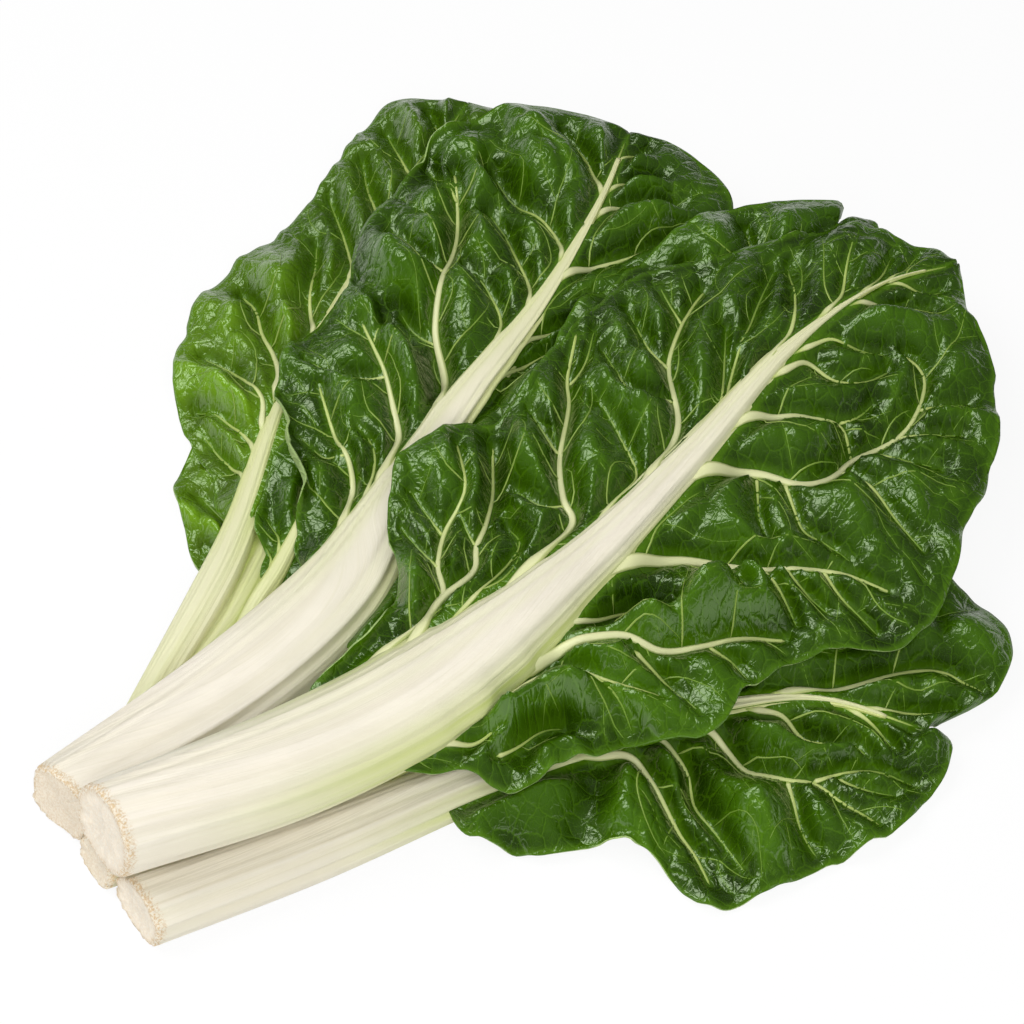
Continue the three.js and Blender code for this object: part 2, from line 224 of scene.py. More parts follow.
        (-227, -13, 8.5, 22, 18), (-160, -35, 9.5, 24, 18), (-100, -56, 12, 20, 15), (-40, -52, 18, 16, 13),
        (30, -30, 26, 10, 9), (100, -8, 33, 6, 6), (160, 6, 36, 4, 4), (208, 15, 35, 3, 3),
    ],
    "margins": [
        (1.9, -100, -43, 14, -110, -66, 17), (2.3, -76, -32, 18, -80, -78, 20),
        (2.8, -40, -18, 23, -40, -92, 21), (3.3, -4, 0, 29, 0, -86, 23), (3.8, 34, 26, 33, 36, -80, 26),
        (4.3, 72, 48, 36, 75, -78, 29), (4.8, 102, 55, 36, 110, -74, 33), (5.4, 130, 58, 36, 145, -64, 35),
        (6, 162, 56, 36, 176, -45, 36), (6.5, 192, 44, 36, 202, -20, 36), (7, 222, 20, 35, 224, 8, 35),
    ],
    "veins": [
        (3.0, (3.4, 0.05), (4.2, 0.3), (4.8, 0.75)),
        (2.6, (4.8, 0.05), (5.6, 0.3), (6.1, 0.75)),
        (2.2, (6.2, 0.05), (6.9, 0.3), (7.3, 0.75)),
        (2.0, (7.6, 0.05), (8.2, 0.35), (8.5, 0.75)),
        (2.6, (4.0, -0.05), (4.8, -0.3), (5.4, -0.75)),
        (2.4, (5.6, -0.05), (6.4, -0.3), (7.0, -0.75)),
    ],
}, {
    "name": "front_leaf", "rib_end": 6.6, "rib_fade": (0.8, 2.1, 0.2), "tip_rounding": 0.0, "puff": 2,
    "seat": 0.35, "green": 0.02,
    "midrib": [
        (-225, -21, 39, 36, 34), (-150, -46, 40, 45, 31), (-85, -57, 42, 44, 28), (-10, -55, 46, 27, 18),
        (60, -45, 48, 18, 13), (125, -32, 50, 11, 9), (183, -30, 47, 5, 5), (223.5, -41, 42, 3, 3),
    ],
    "margins": [
        (1.05, -136, -25, 39, -124, -78, 33), (1.7, -95, -22, 41, -104, -88, 30),
        (2, -72, -12, 43, -98, -98, 27), (2.2, -54, 16, 44, -90, -108, 27),
        (2.4, -30, 34, 44, -68, -112, 28), (2.6, -5, 37, 44, -48, -118, 28),
        (2.75, 14, 28, 44, -22, -140, 28), (3, 40, 32, 44, 4, -134, 29), (3.4, 80, 47, 43, 36, -140, 29),
        (3.8, 115, 46, 43, 66, -157, 29), (4.3, 152, 31, 43, 104, -151, 31),
        (4.8, 180, 20, 43, 140, -131, 33), (5.3, 200, 8, 43, 170, -115, 36),
        (5.8, 213, -8, 43, 188, -95, 38), (6.2, 220, -20, 42, 202, -76, 39),
        (6.4, 222.5, -25, 42, 204, -66, 40), (6.6, 224, -30, 42, 212, -56, 41),
        (7, 224, -38, 42, 222, -44, 42),
    ],
    "grooves": [(96, 0.5, 6), (112, 0.6, 6), (130, 0.6, 7), (150, 0.6, 8), (28, 0.7, 22)],
    "veins": [
        (4.2, (2.2, 0.08), (2.7, 0.2), (3.05, 0.4), (3.5, 0.52), (4.1, 0.6), (4.8, 0.66), (5.1, 0.9)),
        (4.6, (2.8, 0.07), (3.4, 0.18), (4.0, 0.34), (4.5, 0.43), (5.0, 0.51), (5.5, 0.66), (5.9, 0.92)),
        (1.9, (4.1, 0.06), (4.8, 0.16), (5.5, 0.31), (5.55, 0.46)),
        (4.6, (6.0, 0.05), (6.6, 0.1), (6.95, 0.22), (6.95, 0.36), (7.1, 0.55), (7.5, 0.71), (7.6, 0.84),
         (7.9, 0.95)),
        (2.2, (7.8, 0.05), (8.3, 0.15), (8.2, 0.34), (8.0, 0.54)),
        (4.4, (8.2, 0.04), (8.9, 0.1), (9.2, 0.2), (9.2, 0.5), (9.4, 0.66), (9.75, 0.86)),
        (2.0, (9.6, 0.04), (9.95, 0.13), (10.05, 0.55)),
        (2.0, (10.0, 0.1), (10.2, 0.28), (10.45, 0.45), (10.85, 0.82)),
        (2.6, (11.0, 0.04), (11.45, 0.14), (11.4, 0.45), (11.1, 0.8)),
        (2.2, (12.1, 0.04), (12.5, 0.18), (12.4, 0.55), (12.4, 0.84)),
        (1.8, (13.0, 0.05), (13.4, 0.3), (13.4, 0.72)),
        (1.5, (13.9, 0.1), (14.3, 0.5), (14.5, 0.82)),
        (2.8, (1.4, -0.15), (2.1, -0.32), (2.6, -0.44), (2.9, -0.58)),
        (4.4, (2.4, -0.1), (3.3, -0.24), (4.0, -0.34), (4.6, -0.46), (5.2, -0.62), (5.8, -0.74)),
        (5.8, (3.6, -0.08), (4.5, -0.2), (5.2, -0.25), (5.9, -0.37), (6.5, -0.56), (7.0, -0.67),
         (7.5, -0.74), (8.0, -0.84)),
        (2.4, (6.2, -0.06), (6.8, -0.15), (7.0, -0.28), (7.2, -0.44)),
        (5.4, (6.7, -0.04), (7.5, -0.1), (8.0, -0.26), (8.5, -0.45), (8.9, -0.52), (9.3, -0.65),
         (9.5, -0.82)),
        (5.2, (8.6, -0.02), (9.4, -0.06), (9.75, -0.2), (9.95, -0.35), (10.3, -0.43), (10.7, -0.46),
         (11.3, -0.58), (11.8, -0.6), (12.4, -0.56), (12.5, -0.42)),
        (3.8, (9.6, -0.03), (10.3, -0.06), (10.6, -0.16), (10.9, -0.3), (10.95, -0.38), (10.7, -0.46)),
        (2.8, (11.0, -0.03), (11.5, -0.1), (11.5, -0.23), (11.7, -0.33), (12.1, -0.4)),
        (2.2, (11.6, -0.03), (12.0, -0.1), (12.1, -0.2), (12.3, -0.34)),
        (2.4, (12.6, -0.03), (13.2, -0.14), (13.6, -0.3), (14.0, -0.46)),
        (1.6, (14.0, -0.05), (14.6, -0.25), (15.6, -0.5)),
    ],
    "twigs": [
        (1.7, (9.2, 0.33), (8.75, 0.42), (8.45, 0.52), (8.25, 0.78)),
        (1.7, (9.2, 0.5), (8.95, 0.67), (8.8, 0.88)),
        (1.4, (9.45, 0.68), (9.3, 0.82), (9.2, 0.94)),
        (1.7, (7.1, 0.57), (6.95, 0.75), (6.8, 0.9)),
        (1.6, (7.6, 0.8), (7.95, 0.8), (8.2, 0.9)),
        (1.5, (6.95, 0.33), (6.4, 0.44), (6.0, 0.6)),
        (1.4, (4.0, 0.59), (3.95, 0.72), (3.9, 0.86)),
        (1.4, (3.5, 0.5), (3.35, 0.72), (3.3, 0.86)),
        (1.3, (4.5, 0.43), (4.5, 0.53), (4.55, 0.64)),
        (1.7, (9.7, -0.21), (9.45, -0.27), (9.25, -0.32), (9.1, -0.39)),
        (1.9, (9.85, -0.3), (9.6, -0.4), (9.45, -0.47), (9.5, -0.54), (9.5, -0.66)),
        (2.1, (10.45, -0.44), (10.45, -0.57), (10.25, -0.72), (10.1, -0.86)),
        (1.4, (10.95, -0.53), (11.0, -0.65), (11.15, -0.8)),
        (1.7, (11.3, -0.58), (11.5, -0.7), (11.75, -0.84)),
        (1.6, (11.8, -0.6), (12.0, -0.69), (12.3, -0.84)),
        (1.6, (10.95, -0.35), (11.2, -0.4), (11.5, -0.42)),
        (2.0, (8.65, -0.48), (8.55, -0.58), (8.4, -0.7), (8.25, -0.8)),
        (1.7, (8.3, -0.39), (8.2, -0.46), (8.1, -0.57)),
        (1.6, (8.9, -0.52), (8.8, -0.62), (8.75, -0.76)),
        (1.7, (9.2, -0.61), (9.05, -0.74), (9.0, -0.9)),
        (1.9, (6.1, -0.48), (6.2, -0.6), (6.2, -0.72), (6.15, -0.88)),
        (1.7, (7.15, -0.7), (7.25, -0.82), (7.15, -0.94)),
        (1.4, (5.1, -0.6), (5.25, -0.75), (5.2, -0.9)),
        (2.0, (2.5, -0.72), (3.1, -0.68), (3.7, -0.66), (4.2, -0.7)),
    ],
    "folds": [
        (12, 5, 15, (4.8, -0.24), (5.6, -0.31), (6.4, -0.4), (7.1, -0.48), (7.8, -0.52), (8.4, -0.52)),
        (-9, 10, 6, (5.3, -0.16), (6.3, -0.27), (7.1, -0.37), (7.8, -0.4)),
        (12, 6, 10, (2.4, -0.62), (3.2, -0.5), (4.2, -0.52), (5.2, -0.7), (6.0, -0.8)),
        (-10, 6, 6, (2.9, -0.85), (3.5, -0.72), (4.3, -0.74), (4.9, -0.85)),
        (-8, 5, 9, (6.0, 0.99), (5.85, 0.75), (5.5, 0.52), (5.3, 0.36)),
        (7, 9, 7, (4.9, 0.95), (4.9, 0.75), (4.8, 0.55)),
        (-6, 9, 12, (10.2, -0.25), (10.9, -0.48), (11.9, -0.5)),
        (6, 9, 12, (8.8, 0.3), (8.3, 0.5), (8.2, 0.7)),
        (-5, 6, 8, (11.6, 0.2), (11.5, 0.5), (11.4, 0.8)),
    ],
    "curls": [(1, 0.0, 1.8, 7, 100)],
}]

# What most leaves share.  boxiness: 2 for an oval stem and more for a squarer one.
# cut_white: how pale the middle of the cut face is.  tip_rounding: radius of the corners at the tip.
# rib_fade: how much narrower the midrib gets, and between which knots before its end.
USUAL = {
    "boxiness": 2.25, "cut_white": 1.0, "tip_rounding": 8.0, "rib_fade": (0.42, 2.2, 0.0),
    "grooves": [], "twigs": [], "folds": [], "curls": [],
}
LEAVES = [USUAL | leaf for leaf in LEAVES]


# ------------------------------------------------------------------ numbers and curves
NOISE_GRID = 64  # random heights along a side of the noise, after which it repeats
NOISE_START = (117.3, 211.7)  # where the zero of the plan lies in the noise
NOISE_GAIN = 1.4
SEAM_SOFTNESS = 1.8  # distance beside a seam where a pillow stays nearly level


def smooth_rows(rows, where):
    """Points on the smooth curve through rows, at places counted in rows."""
    rows = np.asarray(rows, float)
    where = np.clip(np.asarray(where, float), 0, len(rows) - 1)
    start = np.minimum(where.astype(int), len(rows) - 2)
    part = (where - start)[..., None]
    padded = np.vstack([2 * rows[0] - rows[1], rows, 2 * rows[-1] - rows[-2]])
    before, here, after, beyond = (padded[start + step] for step in range(4))
    leave = (after - before) / 2
    arrive = (beyond - here) / 2
    cubic = 2 * here - 2 * after + leave + arrive
    square = 3 * after - 3 * here - 2 * leave - arrive
    return cubic * part**3 + square * part**2 + leave * part + here


def unit(vectors):
    """Vectors brought to length one."""
    return vectors / np.maximum(np.linalg.norm(vectors, axis=-1, keepdims=True), 1e-9)


def run_along(points):
    """Distance from the first point of a path to each of its points."""
    steps = np.linalg.norm(np.diff(points, axis=0), axis=1)
    return np.concatenate([[0.0], np.cumsum(steps)])


def full_turn(sides):
    """Angles once round, from the bottom and back to it."""
    return np.linspace(-math.pi / 2, 1.5 * math.pi, sides + 1)


def turned(direction, angle):
    """A plan direction turned anticlockwise."""
    x, y = direction
    cosine, sine = math.cos(angle), math.sin(angle)
    return np.array([x * cosine - y * sine, x * sine + y * cosine])


def ramp(values, low, high):
    """0 below low, 1 above high, smooth between."""
    part = np.clip((values - low) / (high - low), 0, 1)
    return part * part * (3 - 2 * part)


def hump(away, spread):
    """1 at no distance, falling off smoothly on both sides."""
    return np.exp(-((away / spread) ** 2))


def quarter_round(part):
    """Rises from 0 to 1 along a quarter of a circle."""
    return np.sqrt(1 - (1 - part) ** 2)


def pillow(distance, reach):
    """Rises from 0 beside a seam, after a soft start, and rounds off to 1 at its full reach."""
    soft = np.sqrt(distance**2 + SEAM_SOFTNESS**2) - SEAM_SOFTNESS
    return quarter_round(np.clip(soft / reach, 0, 1))


def between(corners, first, second):
    """The four corner values of a cell, mixed by how far a place is along its two sides."""
    near = corners[0] * (1 - first) + corners[1] * first
    far = corners[2] * (1 - first) + corners[3] * first
    return near * (1 - second) + far * second


def lump_noise(x, y, cell, seed):
    """Smooth random heights from about -1 to 1, with lumps about one cell across."""
    heights = np.random.default_rng(seed).uniform(-1, 1, (NOISE_GRID, NOISE_GRID))
    x, y = (np.asarray(way) / cell + start for way, start in zip((x, y), NOISE_START))
    column, row = np.floor(x).astype(int), np.floor(y).astype(int)
    corners = [heights[(column + right) % NOISE_GRID, (row + up) % NOISE_GRID]
               for up in (0, 1) for right in (0, 1)]
    return between(corners, ramp(x - column, 0, 1), ramp(y - row, 0, 1)) * NOISE_GAIN


def crumples(plan, cell, seed):
    """Rounded pads with sharp creases between them, from 0 in a crease to about 1."""
    turned_plan = plan @ np.array([[0.8, 0.6], [-0.6, 0.8]])
    bend = 0.35 * cell * lump_noise(plan[..., 0], plan[..., 1], 1.7 * cell, seed + 50)
    return np.abs(lump_noise(turned_plan[..., 0] + bend, turned_plan[..., 1] - bend, cell, seed)) ** 0.85


def blurred(field, times):
    """A grid of values averaged with its neighbours, several times over."""
    for _ in range(times):
        padded = np.pad(field, 1, mode="edge")
        around = padded[:-2, 1:-1] + padded[2:, 1:-1] + padded[1:-1, :-2] + padded[1:-1, 2:]
        field = (2 * field + around) / 6
    return field


def eased(line, times):
    """A line of points with its small kinks smoothed out and its ends kept."""
    line = line.copy()
    for _ in range(times):
        line[1:-1] = (line[:-2] + 2 * line[1:-1] + line[2:]) / 4
    return line


def nearest(plan, targets):
    """For plan points, the number of the nearest target and the distance to it."""
    tree = KDTree(len(targets))
    for number, target in enumerate(targets):
        tree.insert((target[0], target[1], 0.0), number)
    tree.balance()
    found = [tree.find((x, y, 0.0))[1:] for x, y in plan.reshape(-1, 2)]
    numbers = np.array([number for number, _ in found], int).reshape(plan.shape[:-1])
    gaps = np.array([gap for _, gap in found]).reshape(plan.shape[:-1])
    return numbers, gaps


# ------------------------------------------------------------------ the pile
class Pile:
    """The highest point of what already lies at each place of the plan."""

    CELL = 1.5  # size of a cell
    HALF = 270.0  # half the width of the plan that the cells cover

    def __init__(self, start=0.0):
        cells = int(2 * self.HALF / self.CELL)
        self.top = np.full((cells, cells), start)

    def cell_of(self, plan):
        """The cells that plan points lie in."""
        spot = ((plan + self.HALF) / self.CELL).astype(int)
        spot = np.clip(spot, 0, self.top.shape[0] - 1)
        return spot[..., 0], spot[..., 1]

    def add(self, points):
        """Lays points on the pile."""
        np.maximum.at(self.top, self.cell_of(points[..., :2]), points[..., 2])

    def height(self, plan):
        """Height of the pile, read a cell wide so that no gap between points shows."""
        cells = self.top.shape[0]
        padded = np.pad(self.top, 1, mode="edge")
        shifted = [padded[dx:dx + cells, dy:dy + cells] for dx in range(3) for dy in range(3)]
        return np.max(shifted, axis=0)[self.cell_of(plan)]


# ------------------------------------------------------------------ stems
STEM_SIDES = 72
STEM_STEP = 2.4  # between two rings of a stem
FIRST_RING = 1.4  # behind the cut face
FINE_KNOTS = 400  # places at which the length of a midrib is measured
FACE_SHRINK = [0.02, 0.25, 0.5, 0.72, 0.86, 0.93, 0.97, 0.99]  # rings of the cut face
FACE_SETBACK = [0.9, 0.8, 0.6, 0.35, 0.1, 0.0, 0.15, 0.6]  # how deep they lie
FACE_FIRM = 3  # rings in the middle of the face that stay even
END_SHRINK = [0.7, 0.02]  # rings that close the thin end
CUT_SLOPE_UP = 0.25
CUT_SLOPE_ACROSS = -0.2
CUT_REACH = 3 / 14  # share of the knots over which the slant of the cut dies out
CUT_ROUGHNESS = 0.35
SOFT_RIBS = ((7, 0.4), (12, 0.4), (19, 0.45), (27, 0.4))  # ribs round the stem, and their strength
RIB_DRIFT = (0.7, 60)  # how far the ribs wander round the stem, and over what length
GROOVE_DEPTH = 1.5
COLLAR_BELOW = 20  # length of stem that swells below the foot of a vein
COLLAR_ABOVE = 7  # the same above it
COLLAR_MOST = (0.3, 0.09)  # most that it swells, in half widths of the vein and widths of the stem


def rib_frames(leaf, knots):
    """Centre, width, thickness, direction, side and top of the midrib at knots."""
    rows = leaf["midrib"]
    here = smooth_rows(rows, knots)
    ahead = smooth_rows(rows, np.minimum(knots + 0.01, len(rows) - 1))[..., :3]
    behind = smooth_rows(rows, np.maximum(knots - 0.01, 0))[..., :3]
    along = unit(ahead - behind)
    side = unit(np.cross([0.0, 0.0, 1.0], along))
    return here[..., :3], here[..., 3], here[..., 4], along, side, np.cross(along, side)


def rib_width(leaf, knot):
    """Width of the midrib at one knot."""
    return float(smooth_rows(leaf["midrib"], np.array([knot]))[0, 3])


def rib_slimming(leaf, knots):
    """How much narrower a midrib is where it dies out in the blade."""
    loss, first, last = leaf["rib_fade"]
    return 1 - loss * ramp(knots, leaf["rib_end"] - first, leaf["rib_end"] - last)


def stem_ribs(leaf, look, run, width, angle):
    """How far the soft ribs of a stem stand out, less its grooves."""
    swell = np.zeros((len(run), len(angle)))
    rng = np.random.default_rng(len(leaf["name"]))
    for count, strength in SOFT_RIBS:
        phase = rng.uniform(0, 2 * math.pi)
        drift = RIB_DRIFT[0] * np.sin(run / RIB_DRIFT[1] + phase)
        swell += strength * np.sin(count * angle[None] + phase + drift[:, None])
    swell *= look.rib_depth / MM * np.clip(width / 30, 0.2, 1)[:, None]
    fade = np.clip(run / 25, 0.25, 1) * np.clip(width / 16, 0, 1)
    for place, depth, spread in leaf["grooves"]:
        swell -= GROOVE_DEPTH * depth * hump(np.degrees(angle) - place, spread)[None] * fade[:, None]
    return swell


def stem_collars(leaf, run, width, angle, fine, length):
    """How far a stem swells round the feet of its main veins."""
    line = smooth_rows(leaf["midrib"], fine)[:, :2]
    collars = np.zeros((len(run), len(angle)))
    for one in vein_paths(leaf):
        if one["order"] > 0:
            continue
        away = run - length[int(np.argmin(np.hypot(*(line - one["parts_at"]).T)))]
        collar = np.where(away < 0, ramp(away, -COLLAR_BELOW, 0), 1 - ramp(away, 0, COLLAR_ABOVE)) ** 1.5
        facing = np.clip(-np.cos(angle) * one["side"], 0, 1) ** 2 * np.clip(1.2 + np.sin(angle), 0, 1)
        most = np.minimum(COLLAR_MOST[0] * one["half"].max(), COLLAR_MOST[1] * width) * ramp(width, 5, 12)
        collars = np.maximum(collars, (most * collar)[:, None] * facing[None])
    return collars


def cut_setback(leaf, knots, across, upward, angle):
    """How far the rings of a stem lie back, for a slanted and slightly rough cut face."""
    slant = np.clip(1 - knots / (leaf["rib_end"] * CUT_REACH), 0, 1)[:, None]
    back = slant * (CUT_SLOPE_UP * upward + CUT_SLOPE_ACROSS * across)
    back[:len(FACE_SETBACK)] += np.array(FACE_SETBACK)[:, None]
    rough = lump_noise(16 * np.cos(angle), 16 * np.sin(angle), 4, 5)
    back[FACE_FIRM:len(FACE_SETBACK)] += CUT_ROUGHNESS * rough[None]
    return back


def stem_rings(leaf, look):
    """Rings of points round a stem, from the middle of its cut face to its thin end."""
    fine = np.linspace(0, leaf["rib_end"], FINE_KNOTS)
    length = run_along(smooth_rows(leaf["midrib"], fine)[:, :3])
    body = np.interp(np.arange(FIRST_RING, length[-1], STEM_STEP), length, fine)
    knots = np.concatenate([np.zeros(len(FACE_SHRINK)), body, [leaf["rib_end"]] * len(END_SHRINK)])
    shrink = np.concatenate([FACE_SHRINK, np.ones(len(body)), END_SHRINK])
    centre, width, thickness, along, side, top = rib_frames(leaf, knots)
    slimmed = rib_slimming(leaf, knots)
    centre = centre + top * (thickness * (1 - slimmed) / 2)[:, None]
    width, thickness = width * slimmed, thickness * slimmed
    run = np.interp(knots, fine, length)
    angle = full_turn(STEM_SIDES)
    swell = stem_ribs(leaf, look, run, width, angle) + stem_collars(leaf, run, width, angle, fine, length)
    power = 2 / leaf["boxiness"]
    across, upward = (
        np.sign(part) * np.abs(part) ** power * (size[:, None] / 2 + swell) * shrink[:, None]
        for part, size in ((-np.cos(angle), width), (np.sin(angle), thickness)))
    points = centre[:, None] + side[:, None] * across[..., None] + top[:, None] * upward[..., None]
    points += along[:, None] * cut_setback(leaf, knots, across, upward, angle)[..., None]
    points[..., 2] = np.maximum(points[..., 2], 0.0)
    return points, knots, run, angle, shrink


# ------------------------------------------------------------------ blades and their veins
FINE_ROWS = 500  # places at which the length of a margin is measured
POINTS_PER_PLACE = 14  # close points of a vein for each place it is given
VEIN_STEP = 1.5  # between the even points of a main vein
CREEP_STEP = 1.7  # the same for a side vein
CREEP_STEPS = 24  # most steps of a side vein
CREEP_GAP = 2.6  # distance at which a side vein joins a neighbour
VEIN_TAPER = 0.74  # how much thinner a vein gets
VEIN_FLARES = ((0.35, 9), (0.3, 3))  # widening at the foot of a vein and of a twig, and its length
OUT_OF_STEM = 2.0  # distance from the stem at which the listed places of a vein take over
LEAD_IN = ((1.5, 5, 0.55), (0.75, 2, 0.98))  # places in the stem: widths and length back, share out
TIP_VEIN = 0.66  # width of the vein that runs on from the midrib, for the width of the midrib
SIDE_VEIN_TURN = (42, 64)  # angle between a side vein and its parent
SIDE_VEIN_BEND = (0.5, 4)  # how much it bends at each step
SIDE_VEIN_WANDER = 0.07
SIDE_VEIN_HALF = (0.5, 0.3)  # widest half width of a side vein, and of its own side veins
SIDE_VEIN_GAP = (0.75, 0.6)  # their distances from one another, for the spacing that is set
FOLD_POINTS = 40
FOLD_ENDS = 8  # points over which a fold dies out
FOOT_ROUNDING = 11.0  # radius of the corners of a blade at its foot
PUFF_REACH = 16  # distance from a main vein at which the blade is fully puffed up
BLISTER_REACH = 6.5  # the same from a finer vein
PAD_SIZES = (34, 14)  # between the creases of the large and the small pads
CALM_MARGIN = 28  # width of the strip where the pads die out
THIN_MARGIN = 12  # width of the strip where the puffs grow flatter
CALM_RIB = 9  # width of the flat strip beside the midrib
RIB_SLEEVE = (1.4, 3.5)  # height and width of the blade's rise beside the midrib
SLEEVED = 6  # the blade rises only beside a midrib wider than this
WAVED_STRIP = 34  # width of the waved strip at the margin
RUFFLE = 17  # length of the waves along the margin
FRILL = 6.5  # length of the finer waves
LOBES = ((22, 2.4), (7, 0.7))  # length and depth of the lobes of the outline
RIGHT_MARGIN = 900  # keeps the waves of the right margin unlike those of the left one
GAP_KEPT = 0.35  # between two blades
LIFT_SPREAD = (24, 1.25)  # how widely and how strongly a blade is lifted round what it lies on
PRESS_SPREAD = 12  # how widely it is pressed down by a stem
FAR_PART = (-50.0, 50.0)  # from where to where along the bunch the light blades turn darker


def beside(leaf, row, out):
    """The midrib at (row, out) places, its knots there, and the margin."""
    place = smooth_rows(leaf["margins"], row)
    knots = np.minimum(place[..., 0], len(leaf["midrib"]) - 1)
    margin = np.where(out[..., None] > 0, place[..., 1:4], place[..., 4:7])
    return smooth_rows(leaf["midrib"], knots), knots, margin


def loft(leaf, row, out):
    """Points of the plain blade, with no crinkles, at (row, out) places."""
    rib, _, margin = beside(leaf, row, out)
    seat = rib[..., :3].copy()
    seat[..., 2] += leaf["seat"] * rib[..., 4] / 2
    part = np.abs(out)[..., None]
    points = seat * (1 - part) + margin * part
    points[..., 2] += leaf["puff"] * 4 * part[..., 0] * (1 - part[..., 0])
    return points


def loft_line(leaf, rows, out):
    """Points of the plain blade along its rows, all as far out."""
    return loft(leaf, rows, np.full(len(rows), float(out)))


def plan_of(leaf, path):
    """Plan points of a path of (row, out) places."""
    return loft(leaf, path[:, 0], path[:, 1])[:, :2]


def out_of_stem(leaf, row, out):
    """Distance of (row, out) places from the side of the stem, negative inside it."""
    rib, knots, margin = beside(leaf, row, out)
    reach = np.linalg.norm(margin - rib[..., :3], axis=-1)
    return np.abs(out) * reach - np.where(knots < leaf["rib_end"], rib[..., 3] / 2, 0)


def blade_net(leaf, look):
    """The rows and outs of the points of a blade, and its plain shape there."""
    step = look.mesh_step / MM
    fine = np.linspace(0, len(leaf["margins"]) - 1, FINE_ROWS)
    edges = [loft_line(leaf, fine, side) for side in (1, -1)]
    run = max((run_along(edge) for edge in edges), key=lambda one: one[-1])
    rows = np.interp(np.linspace(0, run[-1], int(run[-1] / step)), run, fine)
    middle = loft_line(leaf, fine, 0)
    reach = max(np.linalg.norm(edge - middle, axis=1).max() for edge in edges)
    outs = np.linspace(-1, 1, 2 * int(reach / step) + 1)
    row_grid, out_grid = np.meshgrid(rows, outs, indexing="ij")
    return row_grid, out_grid, loft(leaf, row_grid, out_grid)


def vein(leaf, path, run, half, order, tall=None, parts=0):
    """A vein: its (row, out) places and plan, half width and height, and where it parts from the stem."""
    plan = plan_of(leaf, path)
    tall = half if tall is None else tall
    return {"path": path, "plan": plan, "run": run, "half": half, "tall": tall, "order": order,
            "parts_at": plan[parts], "side": math.copysign(1, path[-1, 1])}


def swept_start(leaf, places):
    """The places of a vein, led in along the side of the stem so that it parts from it gently."""
    outside = np.flatnonzero(out_of_stem(leaf, *np.array(places).T) > OUT_OF_STEM)
    first = int(outside[0]) if len(outside) else 0
    row, out = places[first]
    fine = np.linspace(0, row, 200)
    run = run_along(loft_line(leaf, fine, 0))
    share = np.linspace(0, 1, 60)
    knot = smooth_rows(leaf["margins"], np.array([row]))[0, 0]
    width = rib_width(leaf, min(knot, leaf["rib_end"]))
    lead = []
    for widths, length, inside in LEAD_IN:
        at = float(np.interp(run[-1] - (widths * width + length), run, fine))
        gaps = out_of_stem(leaf, np.full(len(share), at), share * math.copysign(1, out))
        edge = share[int(np.argmax(gaps > 0))]
        lead.append((at, math.copysign(max(edge, 0.02) * inside, out)))
    return lead + list(places[first:])


def vein_paths(leaf):
    """The listed veins (order 0) and twigs (order 1), and one that runs on from the midrib."""
    last = len(leaf["margins"]) - 1
    end_row = float(np.interp(leaf["rib_end"] - 0.5, [row[0] for row in leaf["margins"]], range(last + 1)))
    tip_vein = (TIP_VEIN * rib_width(leaf, leaf["rib_end"]),
                (end_row, 0.0), (0.5 * (end_row + last), 0.004), (last - 0.3, 0.0))
    made = []
    for order, listed in enumerate((leaf["veins"], leaf["twigs"] + [tip_vein])):
        more, reach = VEIN_FLARES[order]
        for width, *places in listed:
            if order == 0:
                places = swept_start(leaf, places)
            path = smooth_rows(places, np.linspace(0, len(places) - 1, POINTS_PER_PLACE * len(places)))
            run = run_along(plan_of(leaf, path))
            even = np.linspace(0, run[-1], max(int(run[-1] / VEIN_STEP), 5))
            path = np.stack([np.interp(even, run, path[:, part]) for part in (0, 1)], axis=1)
            parts = int(np.argmax(out_of_stem(leaf, *path.T) > 0)) if order == 0 else 0
            seen = np.maximum(even - even[parts], 0)
            taper = 1 - VEIN_TAPER * (seen / seen[-1]) ** 0.7
            flare = 1 + more * np.exp(-seen / reach)
            hidden = 0.2 + 0.8 * ramp(even, 0, max(1.2 * even[parts], 1.0))
            tall = width / 2 * taper * hidden
            made.append(vein(leaf, path, even, width / 2 * taper * flare * hidden, order, tall, parts))
    return made


def grow_side_veins(leaf, veins, look, seed):
    """Finer veins (order 2 and 3) on both sides of the listed ones, up to their neighbours."""
    rng = np.random.default_rng(seed)
    taken = np.vstack([one["plan"] for one in veins])
    grown = []
    queue = [(one, 0) for one in veins]
    spacing = look.side_vein_spacing / MM
    while queue:
        parent, depth = queue.pop(0)
        run = parent["run"]
        side = rng.choice([-1, 1])
        at = 0.2 * run[-1] + rng.uniform(2, 8)
        while at < run[-1] - 4:
            here = min(max(int(np.searchsorted(run, at)), 1), len(run) - 2)
            heading = unit(parent["plan"][here + 1] - parent["plan"][here - 1])
            heading = turned(heading, side * math.radians(rng.uniform(*SIDE_VEIN_TURN)))
            bend = -side * math.radians(rng.uniform(*SIDE_VEIN_BEND))
            path = creep(leaf, parent["path"][here], heading, bend, taken, rng)
            if len(path) > 4:
                steps = CREEP_STEP * np.arange(len(path))
                start = min(parent["half"][here] * 0.6, SIDE_VEIN_HALF[depth])
                child = vein(leaf, np.array(path), steps, start * (1 - 0.6 * steps / steps[-1]), 2 + depth)
                grown.append(child)
                taken = np.vstack([taken, child["plan"]])
                if depth == 0:
                    queue.append((child, 1))
            side = -side
            at += spacing * SIDE_VEIN_GAP[depth] * rng.uniform(0.5, 1.1)
    return grown


